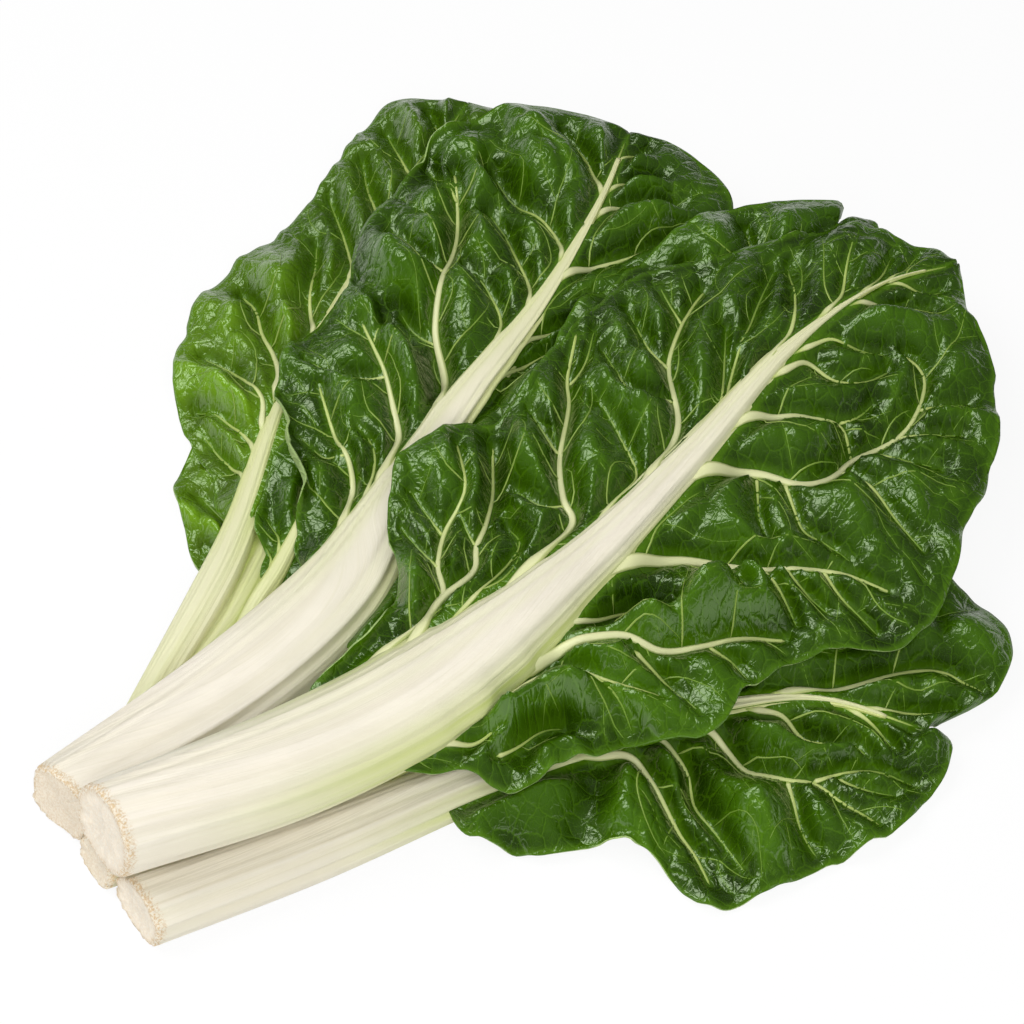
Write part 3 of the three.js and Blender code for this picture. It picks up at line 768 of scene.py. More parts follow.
def creep(leaf, place, heading, bend, taken, rng):
    """The (row, out) places that a side vein passes, a short step at a time."""
    place = np.array(place, float)
    path = [place.copy()]
    side = 1.0 if place[1] > 0 else -1.0
    last_row = len(leaf["margins"]) - 1
    for count in range(CREEP_STEPS):
        heading = unit(turned(heading, bend + rng.normal(0, SIDE_VEIN_WANDER)))
        spots = plan_of(leaf, np.array([place, place + (0.02, 0), place + (0, 0.01)]))
        slope = np.stack([(spots[1] - spots[0]) / 0.02, (spots[2] - spots[0]) / 0.01], axis=1)
        if abs(np.linalg.det(slope)) < 1e-3:
            break
        place = place + np.linalg.solve(slope, heading * CREEP_STEP)
        if not (0.2 < place[0] < last_row - 0.8 and 0.04 < place[1] * side < 0.95):
            break
        path.append(place.copy())
        gaps = np.hypot(*(taken - plan_of(leaf, place[None])[0]).T)
        if count > 2 and gaps.min() < CREEP_GAP:
            break
    return path


def fold_heights(leaf, plan):
    """Ridges and valleys of a blade: how far each point of the plan is lifted."""
    lift = np.zeros(plan.shape[:-1])
    for height, before, behind, *places in leaf["folds"]:
        line = plan_of(leaf, smooth_rows(places, np.linspace(0, len(places) - 1, FOLD_POINTS)))
        heading = unit(np.gradient(line, axis=0))
        number, gap = nearest(plan, line)
        away = plan - line[number]
        left = heading[number, 0] * away[..., 1] - heading[number, 1] * away[..., 0] > 0
        ends = np.minimum(number, FOLD_POINTS - 1 - number) / FOLD_ENDS
        lift += height * hump(gap, np.where(left, before, behind)) * ramp(ends, -0.8, 1)
    return lift


def rounded_ends(leaf, points, rows, outs):
    """A blade whose first and last rows are drawn in, so that its corners are round."""
    middle = points[:, points.shape[1] // 2][:, None]
    shrink = np.ones(points.shape[:2])
    for side in (1, -1):
        run = run_along(loft_line(leaf, rows[:, 0], side))
        for from_end, radius in ((run, FOOT_ROUNDING), (run[-1] - run, leaf["tip_rounding"])):
            if radius > 0:
                drawn_in = quarter_round(np.clip(from_end / radius, 0.02, 1))[:, None]
                shrink = np.where(outs * side > 0, shrink * drawn_in, shrink)
    return middle + (points - middle) * shrink[..., None]


def curl_margins(leaf, points, rows, outs):
    """Margins that roll up and over, bent along an arc."""
    for side, first, last, length, turn in leaf["curls"]:
        columns = np.flatnonzero(outs * side > 0)[::side]
        fade = 0.35 * (last - first)
        weights = ramp(rows, first, first + fade) * (1 - ramp(rows, last - fade, last))
        for number, weight in enumerate(weights):
            if weight < 0.02:
                continue
            strip = points[number, columns]
            run = run_along(strip)
            amount = min(length, 0.6 * run[-1])
            start = run[-1] - amount
            angle = math.radians(turn) * weight
            beyond = np.maximum(run - start, 0)
            hinge = np.array([np.interp(start, run, strip[:, axis]) for axis in range(3)])
            outward = unit(strip[-1] - hinge)
            upward = unit(np.cross(np.cross(outward, [0, 0, 1.0]), outward))
            bent = angle * beyond / amount
            radius = amount / angle
            rolled = (hinge + outward * (radius * np.sin(bent))[:, None]
                      + upward * (radius * (1 - np.cos(bent)))[:, None])
            flat = hinge + outward * beyond[:, None]
            rolled = rolled + (strip - flat) * 0.6
            points[number, columns] = np.where((beyond > 0)[:, None], rolled, strip)
    return points


def settled(points, pile, stems_above, look):
    """A blade lifted clear of what lies below it and pressed down by the stems above it."""
    gap = look.blade_thickness / MM + GAP_KEPT
    floor = np.maximum(pile.height(points[..., :2]) + gap, gap)
    need = np.maximum(floor - points[..., 2], 0)
    points[..., 2] += np.maximum(need, blurred(need, LIFT_SPREAD[0]) * LIFT_SPREAD[1])
    ceiling = -stems_above.height(points[..., :2]) - gap
    over = np.maximum(points[..., 2] - ceiling, 0)
    drop = np.maximum(over, blurred(over, PRESS_SPREAD))
    points[..., 2] = np.maximum(points[..., 2] - drop, np.minimum(points[..., 2], gap))
    return points


def gaps_to_veins(plan, veins, fine_veins):
    """Distance of plan points from the side of the nearest main vein, and from any vein."""
    stout = np.vstack([one["plan"] for one in veins])
    half = np.concatenate([one["half"] for one in veins])
    number, gap = nearest(plan, stout)
    _, to_slim = nearest(plan, np.vstack([one["plan"] for one in fine_veins] + [stout]))
    return np.maximum(gap - half[number], 0), to_slim


def puffs(look, plan, to_stout, to_slim, to_margin, seed):
    """How far a blade puffs up between its veins and crumples into pads."""
    bulge = pillow(to_stout, PUFF_REACH)
    blister = pillow(to_slim, BLISTER_REACH)
    pads = crumples(plan, PAD_SIZES[0], seed + 3) + 0.1 * crumples(plan, PAD_SIZES[1], seed + 4)
    calm = 0.12 + 0.88 * ramp(to_margin, 0, CALM_MARGIN)
    thin = ramp(to_margin, 0, THIN_MARGIN) * 0.6 + 0.4
    pucker = look.pucker_height / MM * (1.1 * bulge - 0.8 + 0.35 * (blister - 0.5)) * thin
    return pucker + look.crumple_height / MM * pads * (0.04 + 0.96 * bulge**2) * calm


def ruffles(look, along, outs, edge, seed):
    """Waves and frills of a margin."""
    ruffle = lump_noise(along, outs * 3, RUFFLE, seed + 1) * edge**1.3
    frill = lump_noise(along, outs * 5, FRILL, seed + 2) * edge**3
    return look.ruffle_height / MM * (ruffle + 0.3 * frill)


def blade_shape(leaf, look, pile, stems_above, seed):
    """The crinkled blade where it lies in the pile, with its values for the finish."""
    rows, outs, points = blade_net(leaf, look)
    plan = points[..., :2].copy()
    veins = vein_paths(leaf)
    fine_veins = grow_side_veins(leaf, veins, look, seed)
    rib, _, margin = beside(leaf, rows, outs)
    reach = np.linalg.norm(margin - rib[..., :3], axis=-1)
    to_margin = (1 - np.abs(outs)) * reach
    to_rib = out_of_stem(leaf, rows, outs)
    to_stout, to_slim = gaps_to_veins(plan, veins, fine_veins)
    left_run, right_run = (run_along(loft_line(leaf, rows[:, 0], side))[:, None] for side in (1, -1))
    along = np.where(outs > 0, left_run, right_run + RIGHT_MARGIN)
    near_tip = ramp(len(leaf["margins"]) - 1 - rows, 0.2, 2.2)
    lift = puffs(look, plan, to_stout, to_slim, to_margin, seed)
    lift += ruffles(look, along, outs, (1 - ramp(to_margin, 0, WAVED_STRIP)) * near_tip, seed)
    lift += fold_heights(leaf, plan)
    lift *= ramp(to_rib, 0, CALM_RIB)
    rise, spread = RIB_SLEEVE
    lift += rise * hump(np.maximum(to_rib, 0), spread) * (rib[..., 3] > SLEEVED)
    points[..., 2] += lift
    lobes = sum(lump_noise(along, outs, cell, seed + 6 + number) * depth
                for number, (cell, depth) in enumerate(LOBES))
    lobes = lobes * near_tip * ramp(np.abs(outs), 0.55, 1) * ramp(reach, 12, 40)
    points += unit(margin - rib[..., :3]) * lobes[..., None]
    points = rounded_ends(leaf, points, rows, outs)
    points = curl_margins(leaf, points, rows[:, 0], outs[0])
    points = settled(points, pile, stems_above, look)
    values = {
        "to_vein": np.minimum(to_stout, to_slim + 0.4),
        "to_margin": to_margin,
        "to_rib": np.maximum(to_rib, 0),
        "far": ramp(plan[..., 0], *FAR_PART),
        # how high the blade is lifted; the finish uses it to paint the raised pads lighter and the low
        # creases darker, as painted light and shade
        "height": np.clip(0.3 + lift / 20, 0, 1),
    }
    normals = unit(np.cross(np.gradient(points, axis=0), np.gradient(points, axis=1)))
    return {"rows": rows[:, 0], "outs": outs[0], "plan": plan, "points": points, "normals": normals,
            "values": values, "veins": veins + fine_veins}


def on_blade(shape, path):
    """Points and upward directions of a finished blade at (row, out) places."""
    lows = []
    parts = []
    for where, line in zip(path.T, (shape["rows"], shape["outs"])):
        at = np.interp(where, line, np.arange(len(line)))
        lows.append(np.clip(at.astype(int), 0, len(line) - 2))
        parts.append((at - lows[-1])[:, None])

    def read(grid):
        corners = [grid[lows[0] + row, lows[1] + out] for row in (0, 1) for out in (0, 1)]
        return between(corners, parts[1], parts[0])

    return read(shape["points"]), unit(read(shape["normals"]))


# ------------------------------------------------------------------ meshes
UV_UNIT = 100.0  # millimetres of leaf in one unit of its UV map
VEIN_HEIGHT = 0.62  # height of a vein for its width
VEIN_STAND = 0.15  # how far a main vein stands out of the blade, in half widths
SLIM_STAND = 0.5  # the same for the finer veins
VEIN_SIDES = 10
SLIM_SIDES = 6


def placed(name, data):
    """A new object in the scene, at the origin."""
    thing = bpy.data.objects.new(name, data)
    bpy.context.scene.collection.objects.link(thing)
    return thing


def mesh_of(work, name):
    """The mesh of a finished bmesh."""
    mesh = bpy.data.meshes.new(name)
    work.to_mesh(mesh)
    work.free()
    return mesh


def grids_mesh(name, grids, closed):
    """A mesh from grids of points in millimetres.  Closed grids are sewn up as tubes."""
    work = bmesh.new()
    uv_layer = work.loops.layers.uv.new("leaf")
    layers = {key: work.verts.layers.float.new(key) for key in grids[0]["values"]}
    places = []
    for grid in grids:
        rows, columns = grid["points"].shape[:2]
        made = bmesh.ops.create_grid(work, x_segments=columns - 1, y_segments=rows - 1, size=1.0)["verts"]
        for vert, place in zip(made, ((grid["points"].reshape(-1, 3) + PILE_OFFSET) * MM).tolist()):
            vert.co = place
        for key, layer in layers.items():
            value = np.broadcast_to(grid["values"][key], (rows, columns)).reshape(-1).tolist()
            for vert, amount in zip(made, value):
                vert[layer] = amount
        places.append(grid["uv"].reshape(-1, 2) / UV_UNIT)
    work.verts.index_update()
    places = np.vstack(places).tolist()
    for face in work.faces:
        face.smooth = True
        for loop in face.loops:
            loop[uv_layer].uv = places[loop.vert.index]
    if closed:
        bmesh.ops.remove_doubles(work, verts=work.verts, dist=1e-6)
        ends = [edge for edge in work.edges if edge.is_boundary]
        bmesh.ops.holes_fill(work, edges=ends, sides=0)
    bmesh.ops.recalc_face_normals(work, faces=work.faces)
    return mesh_of(work, name)


def add_piece(name, mesh, materials, stands_for=None):
    """The object of a piece, riding on the bunch."""
    piece = placed(name, mesh)
    for material in materials:
        mesh.materials.append(material)
    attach(piece, BODY)
    if stands_for:
        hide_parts(stands_for)
    return piece


def add_stem(leaf, look):
    """The thick stem of a leaf, which runs on as its midrib."""
    name = leaf["name"]
    points, knots, run, angle, shrink = stem_rings(leaf, look)
    width = smooth_rows(leaf["midrib"], knots)[:, 3][:, None]
    blade_from = leaf["margins"][0][0]
    around = np.degrees(angle)[None]
    run = run[:, None]
    low_side = np.abs(np.cos(angle))[None] ** 3
    in_blade = ramp(knots, blade_from - 1.0, blade_from + 0.5)[:, None]
    green = leaf["green"] + in_blade * (0.04 + 0.75 * low_side) + 0.03 * low_side
    for place, depth, spread in leaf["grooves"]:
        green = green + (0.03 + 0.27 * in_blade) * depth * hump(around - place, spread)
    values = {
        "cut": np.clip((1 - shrink) / 0.22, 0, leaf["cut_white"])[:, None] * (run < 1),
        "from_cut": run,
        "green": np.clip(green, 0, 1),
        "slim": 1 - ramp(width, 3, 24),
    }
    uv = np.stack(np.broadcast_arrays(angle[None] * (width / 2), run), axis=-1)
    mesh = grids_mesh(name + "_stem", [{"points": points, "uv": uv, "values": values}], True)
    material = material_named("Chard stem", make_stem_material, look)
    add_piece(name + "_stem", mesh, [material], name + "_stalk")


def add_lamina(leaf, shape, look):
    """The green blade of a leaf, a thin sheet with a paler back."""
    name = leaf["name"]
    grid = {"points": shape["points"], "uv": shape["plan"], "values": shape["values"]}
    mesh = grids_mesh(name + "_lamina", [grid], False)
    if mesh.polygons[len(mesh.polygons) // 2].normal.z < 0:
        mesh.flip_normals()
    light = name in LIGHT_BLADES
    top_name = "Chard blade light" if light else "Chard blade dark"
    top = material_named(top_name, make_blade_material, look, light)
    back = material_named("Chard blade back", make_back_material, look)
    piece = add_piece(name + "_lamina", mesh, [top, back], name + "_blade")
    wall = piece.modifiers.new("Thickness", "SOLIDIFY")
    wall.thickness = look.blade_thickness
    wall.offset = -1.0
    wall.material_offset = 1
    wall.material_offset_rim = 1


def vein_grid(shape, one):
    """A raised cord half sunk into the blade along a vein."""
    slim = one["order"] > 1
    last = len(one["run"]) - 1
    numbers = np.unique(np.append(np.arange(0, last + 1, 2 if slim else 1), last))
    centre, upward = on_blade(shape, one["path"][numbers])
    if not slim:
        centre, upward = eased(centre, 6), unit(eased(upward, 10))
    half, tall, run = (one[key][numbers][:, None] for key in ("half", "tall", "run"))
    side = unit(np.cross(upward, unit(np.gradient(centre, axis=0))))
    angle = full_turn(SLIM_SIDES if slim else VEIN_SIDES)
    close = np.ones((len(numbers), 1))
    close[[0, -1]] = 0.15
    centre = centre + upward * tall * (SLIM_STAND if one["order"] > 0 else VEIN_STAND)
    points = (centre[:, None] + side[:, None] * (np.cos(angle) * half * close)[..., None]
              + upward[:, None] * (np.sin(angle) * tall * close * VEIN_HEIGHT)[..., None])
    uv = np.stack(np.broadcast_arrays(angle[None] * half, run), axis=-1)
    values = {"thick": half, "crest": (0.5 + 0.5 * np.sin(angle))[None]}
    return {"points": points, "uv": uv, "values": values}


def add_veins(leaf, grids, look):
    """All the side veins of a leaf as one net."""
    mesh = grids_mesh(leaf["name"] + "_veins", grids, True)
    material = material_named("Chard vein", make_vein_material, look)
    add_piece(leaf["name"] + "_veins", mesh, [material])


# ------------------------------------------------------------------ finishes
FLOAT = "NodeSocketFloat"
COLOUR = "NodeSocketColor"
VECTOR = "NodeSocketVector"
BRIGHT_EDGES = (  # a distance, where the brighter green starts and is full, its share and its level
    ("to_vein", 2.6, 0.2, 0.35, 1.3),
    ("to_rib", 2.5, 0.0, 0.4, 1.3),
    ("to_margin", 4.0, 0.0, 0.45, 1.4),
)


def shade(colour, amount):
    """A colour made lighter or darker, with its full opacity."""
    return tuple(min(part * amount, 1.0) for part in colour) + (1.0,)


class Wiring:
    """Adds nodes to a tree.  An input is given as a plain value or as another node's output."""

    def __init__(self, tree):
        self.tree = tree

    def feed(self, socket, value):
        """Links an output to a socket, or sets its plain value."""
        if isinstance(value, bpy.types.NodeSocket):
            self.tree.links.new(value, socket)
        else:
            socket.default_value = value

    def add(self, kind, inputs=None, **settings):
        """Adds a node and gives its outputs."""
        node = self.tree.nodes.new("ShaderNode" + kind)
        for key, value in settings.items():
            setattr(node, key, value)
        for key, value in (inputs or {}).items():
            self.feed(node.inputs[key], value)
        return node.outputs

    def calc(self, operation, *values):
        """The result of a Math node."""
        return self.add("Math", dict(enumerate(values)), operation=operation)[0]

    def span(self, value, low, high, to_low=0.0, to_high=1.0):
        """A value eased from one range to another."""
        inputs = {"Value": value, "From Min": low, "From Max": high, "To Min": to_low, "To Max": to_high}
        return self.add("MapRange", inputs, interpolation_type="SMOOTHSTEP")["Result"]

    def mask(self, value, low, high, most):
        """A value eased from 0 at low to most at high."""
        return self.calc("MULTIPLY", self.span(value, low, high), most)

    def blend(self, amount, first, second):
        """A colour between two others."""
        return self.add("Mix", {0: amount, 6: first, 7: second}, data_type="RGBA")[2]

    def tint(self, colour, amount, other, level=1.0):
        """A colour drawn towards a shade of another one."""
        return self.blend(amount, colour, shade(other, level))

    def noise(self, vector, scale, detail=3.0, roughness=0.5):
        """Soft noise from 0 to 1."""
        inputs = {"Vector": vector, "Scale": scale, "Detail": detail, "Roughness": roughness}
        return self.add("TexNoise", inputs)["Fac"]

    def attribute(self, name):
        """A value that the mesh carries."""
        return self.add("Attribute", attribute_name=name)["Fac"]

    def leaf_map(self):
        """The UV map that runs along a piece."""
        return self.add("UVMap", uv_map="leaf")["UV"]

    def bump(self, height, strength, distance, under=None):
        """A bumped normal, over another one if that is given."""
        inputs = {"Height": height, "Strength": strength, "Distance": distance}
        if under is not None:
            inputs["Normal"] = under
        return self.add("Bump", inputs)["Normal"]


def grouped(wires, name, build, inputs, outputs):
    """Places a shader node group, with its own values.  It is built the first time it is asked for."""
    tree = bpy.data.node_groups.get(name)
    if tree is None:
        tree = bpy.data.node_groups.new(name, "ShaderNodeTree")
        for label, (kind, _) in inputs.items():
            tree.interface.new_socket(name=label, in_out="INPUT", socket_type=kind)
        for label, kind in outputs.items():
            tree.interface.new_socket(name=label, in_out="OUTPUT", socket_type=kind)
        given = tree.nodes.new("NodeGroupInput").outputs
        wanted = tree.nodes.new("NodeGroupOutput").inputs
        inner = Wiring(tree)
        for label, value in build(inner, given).items():
            inner.feed(wanted[label], value)
    return wires.add("Group", {label: value for label, (_, value) in inputs.items()}, node_tree=tree)


def crinkled(wires, vector):
    """The height of blistered skin, and the fine net of veinlets in it."""
    def build(wires, given):
        bend = wires.add("TexNoise", {"Vector": given["Vector"], "Scale": 30.0, "Detail": 2.0})["Color"]
        shift = wires.add("VectorMath", {0: bend, 1: (0.5, 0.5, 0.5)}, operation="SUBTRACT")[0]
        small = wires.add("VectorMath", {0: shift, "Scale": 0.025}, operation="SCALE")[0]
        moved = wires.add("VectorMath", {0: given["Vector"], 1: small}, operation="ADD")[0]
        large, fine = (
            wires.add("TexVoronoi", {"Vector": moved, "Scale": given[cells]},
                      feature="DISTANCE_TO_EDGE", voronoi_dimensions="2D")["Distance"]
            for cells in ("Large cells", "Small cells"))
        height = wires.calc("MULTIPLY_ADD", wires.span(fine, 0.0, 0.14), 0.3, wires.span(large, 0.0, 0.16))
        net = wires.calc("MAXIMUM", wires.span(large, 0.07, 0.0), wires.mask(fine, 0.08, 0.0, 0.5))
        return {"Height": wires.calc("MULTIPLY_ADD", large, 0.9, height), "Veinlets": net}
    inputs = {"Vector": (VECTOR, vector), "Large cells": (FLOAT, 15.0), "Small cells": (FLOAT, 46.0)}
    return grouped(wires, "Leaf crinkle", build, inputs, {"Height": FLOAT, "Veinlets": FLOAT})


def fibrous(wires, vector):
    """Fine and broad fibres that run with the V direction of a UV map."""
    def build(wires, given):
        fine, broad = (
            wires.add("Mapping", {"Vector": given["Vector"], "Scale": scale})["Vector"]
            for scale in ((190.0, 1.7, 1.0), (17.0, 0.45, 1.0)))
        return {"Fine": wires.noise(fine, 1.0, 3.0, 0.6), "Broad": wires.noise(broad, 1.0, 2.0)}
    outputs = {"Fine": FLOAT, "Broad": FLOAT}
    return grouped(wires, "Plant fibre", build, {"Vector": (VECTOR, vector)}, outputs)


def mottled(wires, vector, scale, colour, darkest, lightest):
    """A colour that drifts between two of its shades in soft patches."""
    def build(wires, given):
        patch = wires.noise(given["Vector"], given["Scale"], 4.0, 0.55)
        return {"Colour": wires.blend(wires.span(patch, 0.36, 0.64), given["First"], given["Second"])}
    inputs = {"Vector": (VECTOR, vector), "Scale": (FLOAT, scale),
              "First": (COLOUR, shade(colour, darkest)), "Second": (COLOUR, shade(colour, lightest))}
    return grouped(wires, "Colour mottle", build, inputs, {"Colour": COLOUR})["Colour"]


def material_named(name, build, *details):
    """A material, built the first time it is asked for."""
    material = bpy.data.materials.get(name)
    if material is None:
        material = bpy.data.materials.new(name)
        material.use_nodes = True
        wires = Wiring(material.node_tree)
        shader = material.node_tree.nodes["Principled BSDF"]
        for socket, value in build(wires, *details).items():
            wires.feed(shader.inputs[socket], value)
    return material


def make_blade_material(wires, look, light):
    """Glossy crinkled green, paler beside the veins and at the margin, with painted light on the raised
    pads and painted shade in the low creases.
    """
    place = wires.leaf_map()
    base = look.light_green if light else look.dark_green
    crinkle = crinkled(wires, place)
    colour = mottled(wires, place, 3.2, base, 0.5, 1.05)
    # painted light and shade: the raised pads are painted lighter than the low creases
    colour = wires.tint(colour, wires.mask(wires.attribute("height"), 0.15, 0.85, 0.6), base, 2.5)
    if light:
        far = wires.calc("MULTIPLY", wires.attribute("far"), 0.75)
        colour = wires.tint(colour, far, look.dark_green, 1.2)
    colour = wires.tint(colour, wires.calc("MULTIPLY", crinkle["Veinlets"], 0.3), look.bright_green, 1.25)
    for distance, *limits, level in BRIGHT_EDGES:
        near = wires.mask(wires.attribute(distance), *limits)
        colour = wires.tint(colour, near, look.bright_green, level)
    return {
        "Base Color": colour,
        "Roughness": wires.calc("MULTIPLY_ADD", wires.noise(place, 14.0), 0.16, 0.11),
        "Specular IOR Level": 1.0,
        "Specular Tint": (0.82, 1.0, 0.66, 1.0),
        "Normal": wires.bump(crinkle["Height"], look.crinkle_strength, 0.0011),
    }


def make_back_material(wires, look):
    """The dull pale green of the back and the cut rim of a blade."""
    place = wires.leaf_map()
    crinkle = crinkled(wires, place)
    colour = mottled(wires, place, 5.0, look.back_green, 0.85, 1.15)
    net = wires.calc("MULTIPLY", crinkle["Veinlets"], 0.5)
    return {
        "Base Color": wires.tint(colour, net, look.back_green, 1.6),
        "Roughness": 0.55,
        "Normal": wires.bump(wires.calc("SUBTRACT", 1.0, crinkle["Height"]), 0.6, 0.0008),
    }


def make_vein_material(wires, look):
    """Smooth cream cords, greener at their foot and where they are thin."""
    thick = wires.attribute("thick")
    fibres = fibrous(wires, wires.leaf_map())
    colour = wires.tint(shade(look.bright_green, 1.3), wires.span(thick, 0.2, 0.75), look.vein_green)
    colour = wires.tint(colour, wires.span(thick, 0.5, 1.6), look.vein_cream)
    colour = wires.tint(colour, wires.mask(wires.attribute("crest"), 0.93, 0.7, 0.7), look.vein_green, 0.75)
    colour = wires.tint(colour, wires.calc("MULTIPLY", fibres["Fine"], 0.12), look.vein_green, 1.2)
    return {"Base Color": colour, "Roughness": 0.38, "Normal": wires.bump(fibres["Fine"], 0.25, 0.0004)}


def make_stem_material(wires, look):
    """Juicy cream-white stem with soft lengthwise fibres, greenish grooves and a bruised cut end."""
    place = wires.add("TexCoord")["Object"]
    fibres = fibrous(wires, wires.leaf_map())
    colour = mottled(wires, place, 14.0, look.stem_white, 0.95, 1.03)
    colour = wires.tint(colour, wires.mask(fibres["Broad"], 0.62, 0.36, 0.4), look.stem_shade)
    colour = wires.tint(colour, wires.mask(fibres["Fine"], 0.5, 0.7, 0.35), look.stem_shade)
    colour = wires.tint(colour, wires.calc("MULTIPLY", wires.attribute("slim"), 0.9), look.vein_cream, 1.06)
    banded = wires.span(fibres["Broad"], 0.25, 0.7, 0.55, 1.0)
    green = wires.calc("MULTIPLY", wires.attribute("green"), banded)
    colour = wires.tint(colour, wires.calc("MINIMUM", green, 1.0), look.stem_green)
    pores = wires.noise(place, 1100.0, 3.0, 0.7)
    ragged = wires.span(pores, 0.4, 0.6)
    from_cut = wires.calc("ADD", wires.attribute("from_cut"), wires.span(pores, 0.3, 0.7, -1.4, 1.4))
    bruise = wires.tint(shade(look.cut_tan, 0.8), ragged, look.cut_flesh, 0.9)
    colour = wires.blend(wires.mask(from_cut, 4.5, 0.6, 0.9), colour, bruise)
    patches = wires.span(wires.noise(place, 260.0, 4.0, 0.7), 0.4, 0.62)
    flesh = wires.tint(shade(look.cut_flesh, 0.93), patches, look.cut_flesh, 1.03)
    flesh = wires.tint(flesh, wires.calc("MULTIPLY", ragged, 0.25), look.cut_tan, 0.95)
    colour = wires.blend(wires.span(wires.attribute("cut"), 0.35, 1.0), colour, flesh)
    normal = wires.bump(fibres["Fine"], 0.4, 0.0006)
    normal = wires.bump(fibres["Broad"], 0.4, 0.002, normal)
    pitted_rim = wires.calc("MULTIPLY", pores, wires.span(from_cut, 3.0, 1.0))
    return {
        "Base Color": colour,
        "Roughness": wires.span(fibres["Broad"], 0.3, 0.7, 0.36, 0.5),
        "Normal": wires.bump(pitted_rim, 0.4, 0.0008, normal),
    }


# ------------------------------------------------------------------ settings
LENGTH = {"unit": "LENGTH"}
ANGLE = {"subtype": "ANGLE"}
SHARE = {"subtype": "FACTOR", "min": 0.0, "max": 1.0}


def setting(name, description, default, **more):
    """A number that a user can change."""
    return FloatProperty(name=name, description=description, default=default, **more)


def paint(name, description, *default):
    """A colour that a user can change."""
    return FloatVectorProperty(name=name, description=description, default=default, subtype="COLOR")


class ChardLeafLook(bpy.types.PropertyGroup):
    """Shape and colour of the leaves."""

    mesh_step: setting("Mesh step", "Distance between the points of a blade", 0.0019, min=0.001, **LENGTH)
    blade_thickness: setting("Blade thickness", "Thickness of the blade", 0.0007, min=0.0002, **LENGTH)
    pucker_height: setting("Pucker height", "Rise of the blade between its veins", 0.0066, **LENGTH)
    crumple_height: setting("Crumple height", "Height of the pads between the creases", 0.0115, **LENGTH)
    ruffle_height: setting("Ruffle height", "Waves along the margins", 0.0045, **LENGTH)
    side_vein_spacing: setting("Side vein spacing", "Distance between the finer veins", 0.021, **LENGTH)
    rib_depth: setting("Rib depth", "Depth of the soft ribs along a stem", 0.0006, **LENGTH)
    crinkle_strength: setting("Crinkle", "Strength of the fine crinkles of a blade", 0.3, **SHARE)
    dark_green: paint("Dark green", "Blades of the front leaves", 0.0235, 0.064, 0.0006)
    light_green: paint("Light green", "Blades of the left leaves", 0.093, 0.19, 0.004)
    bright_green: paint("Bright green", "Beside veins and at margins", 0.078, 0.185, 0.003)
    back_green: paint("Back green", "Back and rim of the blades", 0.3, 0.42, 0.14)
    vein_green: paint("Vein green", "Thin veins and the foot of thick ones", 0.46, 0.56, 0.15)
    vein_cream: paint("Vein cream", "Crest of the thick veins", 0.74, 0.75, 0.42)
    stem_white: paint("Stem white", "Main colour of the stems", 0.87, 0.805, 0.7)
    stem_shade: paint("Stem fibre", "Darker fibres of the stems", 0.74, 0.68, 0.52)
    stem_green: paint("Stem green", "Greenish stems, grooves and edges", 0.54, 0.62, 0.15)
    cut_tan: paint("Cut rim", "Bruised rim of a cut end", 0.82, 0.58, 0.3)
    cut_flesh: paint("Cut flesh", "Middle of a cut end", 0.96, 0.88, 0.74)


class ChardStage(bpy.types.PropertyGroup):
    """Floor, light and camera."""

    azimuth: setting("Azimuth", "Side from which the camera looks", math.radians(-42), **ANGLE)
    elevation: setting("Elevation", "Height of the camera over the floor", math.radians(52), **ANGLE)
    distance: setting("Distance", "From the camera to the bunch", 1.18, **LENGTH)
    lens: setting("Lens", "Focal length in millimetres", 100.0, unit="CAMERA")
    key_power: setting("Key light", "Power of the main soft light", 15.5, unit="POWER")
    fill_power: setting("Fill light", "Power of the light opposite", 19.5, unit="POWER")
    sky: setting("Sky", "Strength of the light from all around", 0.12)
    backdrop: setting("White floor", "How much of the floor is plain white", 0.9, **SHARE)


# ------------------------------------------------------------------ the stage
WHITE = (1, 1, 1, 1)
FLOOR_GREY = (0.95, 0.95, 0.95, 1)
FLOOR_HALF = 6.0  # half a side of the floor, in metres, as are the lights' places and sizes
KEY_PLACE = (-0.45, 0.75, 1.3)
KEY_SIZE = 1.1
FILL_PLACE = (-0.6, -0.85, 1.15)
FILL_SIZE = 1.4
TARGET_HEIGHT = 20  # millimetres from the floor to the point that the camera looks at


def seen_by(wires, *rays):
    """1 for the named kinds of ray and 0 for the others."""
    path = wires.add("LightPath")
    seen = path[f"Is {rays[0]} Ray"]
    for ray in rays[1:]:
        seen = wires.calc("MAXIMUM", seen, path[f"Is {ray} Ray"])
    return seen


def add_floor(stage):
    """A wide pale floor, partly plain white wherever it is seen or mirrored."""
    work = bmesh.new()
    bmesh.ops.create_grid(work, x_segments=4, y_segments=4, size=FLOOR_HALF)
    mesh = mesh_of(work, "floor")
    floor = placed("floor", mesh)
    material = material_named("Pale floor", lambda wires: {"Base Color": FLOOR_GREY, "Roughness": 0.9})
    nodes = material.node_tree.nodes
    wires = Wiring(material.node_tree)
    seen = wires.calc("MULTIPLY", seen_by(wires, "Camera", "Glossy", "Transmission"), stage.backdrop)
    white = wires.add("Emission", {"Color": WHITE, "Strength": 1.0})[0]
    both = wires.add("MixShader", {0: seen, 1: nodes["Principled BSDF"].outputs[0], 2: white})[0]
    wires.feed(nodes["Material Output"].inputs["Surface"], both)
    mesh.materials.append(material)


def add_sky(stage):
    """Even grey light from all around, seen as white."""
    world = bpy.data.worlds.new("Studio")
    bpy.context.scene.world = world
    world.use_nodes = True
    nodes = world.node_tree.nodes
    wires = Wiring(world.node_tree)
    nodes["Background"].inputs["Color"].default_value = WHITE
    nodes["Background"].inputs["Strength"].default_value = stage.sky
    white = wires.add("Background", {"Color": WHITE, "Strength": 1.0})[0]
    seen = seen_by(wires, "Camera", "Transmission")
    both = wires.add("MixShader", {0: seen, 1: nodes["Background"].outputs[0], 2: white})[0]
    wires.feed(nodes["World Output"].inputs["Surface"], both)


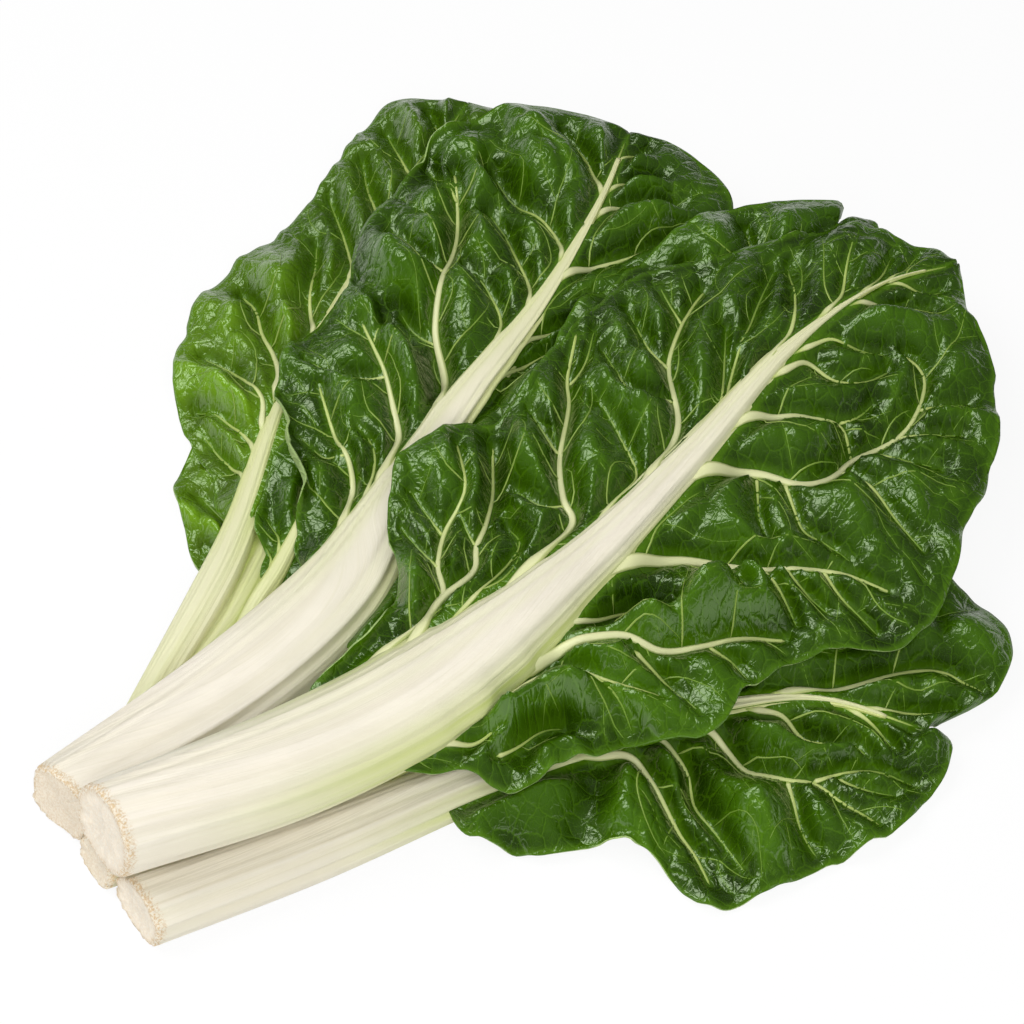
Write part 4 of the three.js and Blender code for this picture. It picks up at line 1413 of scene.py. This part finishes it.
def aim(thing, place, back):
    """Puts a light or camera in its place, with its back turned to a direction."""
    thing.location = place
    thing.rotation_euler = (-back).to_track_quat("-Z", "Y").to_euler()


def add_light(name, place, size, power):
    """A square soft light that faces the bunch."""
    lamp = bpy.data.lights.new(name, "AREA")
    lamp.size = size
    lamp.energy = power
    light = placed(name, lamp)
    aim(light, place, Vector(place))
    return light


def add_camera(stage):
    """The camera, looking down on the middle of the bunch."""
    lens = bpy.data.cameras.new("Camera")
    lens.lens = stage.lens
    camera = placed("Camera", lens)
    azimuth, elevation = stage.azimuth, stage.elevation
    back = Vector((math.sin(azimuth) * math.cos(elevation), -math.cos(azimuth) * math.cos(elevation),
                   math.sin(elevation)))
    target = Vector((PILE_OFFSET + (0, 0, TARGET_HEIGHT)) * MM)
    aim(camera, target + back * stage.distance, back)
    bpy.context.scene.camera = camera


# ------------------------------------------------------------------ operators
class ChardStems(bpy.types.Operator):
    """Add the stem and midrib of every leaf"""

    bl_idname = "chard.stems"
    bl_label = "Add the stems"

    def execute(self, context):
        for leaf in LEAVES:
            add_stem(leaf, context.scene.chard_look)
        return {"FINISHED"}


class ChardBlades(bpy.types.Operator):
    """Lay the blades one over another, each with its net of veins"""

    bl_idname = "chard.blades"
    bl_label = "Add the blades and veins"

    def execute(self, context):
        look = context.scene.chard_look
        stems = [stem_rings(leaf, look)[0] for leaf in LEAVES]
        pile = Pile()
        for number, leaf in enumerate(LEAVES):
            above = Pile(-1000.0)
            for stem in stems[number + 1:]:
                above.add(stem * (1, 1, -1))
            shape = blade_shape(leaf, look, pile, above, 10 * number + 3)
            grids = [vein_grid(shape, one) for one in shape["veins"] if len(one["run"]) > 3]
            add_lamina(leaf, shape, look)
            add_veins(leaf, grids, look)
            for points in [grid["points"] for grid in grids] + [shape["points"], stems[number]]:
                pile.add(points)
        return {"FINISHED"}


class ChardStageUp(bpy.types.Operator):
    """Add the floor, the lights, the sky and the camera"""

    bl_idname = "chard.stage"
    bl_label = "Set the stage"

    def execute(self, context):
        stage = context.scene.chard_stage
        add_floor(stage)
        add_sky(stage)
        add_light("Key light", KEY_PLACE, KEY_SIZE, stage.key_power)
        fill = add_light("Fill light", FILL_PLACE, FILL_SIZE, stage.fill_power)
        fill.visible_glossy = False
        add_camera(stage)
        context.scene.view_settings.view_transform = "Standard"
        return {"FINISHED"}


class ChardPanel(bpy.types.Panel):
    """Lists the steps that build the bunch."""

    bl_idname = "VIEW3D_PT_chard"
    bl_label = "Chard bunch"
    bl_space_type = "VIEW_3D"
    bl_region_type = "UI"
    bl_category = "Chard"

    def draw(self, context):
        for settings in (context.scene.chard_look, context.scene.chard_stage):
            box = self.layout.box()
            for name in settings.bl_rna.properties.keys():
                if name not in ("rna_type", "name"):
                    box.prop(settings, name)
        for step in STEPS:
            self.layout.operator(step.bl_idname)


STEPS = (ChardStems, ChardBlades, ChardStageUp)
CLASSES = (ChardLeafLook, ChardStage, *STEPS, ChardPanel)


def register():
    for one in CLASSES:
        bpy.utils.register_class(one)
    bpy.types.Scene.chard_look = PointerProperty(type=ChardLeafLook)
    bpy.types.Scene.chard_stage = PointerProperty(type=ChardStage)


def unregister():
    del bpy.types.Scene.chard_stage
    del bpy.types.Scene.chard_look
    for one in reversed(CLASSES):
        bpy.utils.unregister_class(one)


def main():
    register()
    bpy.ops.chard.stems()
    bpy.ops.chard.blades()
    bpy.ops.chard.stage()


if __name__ == "__main__":
    main()
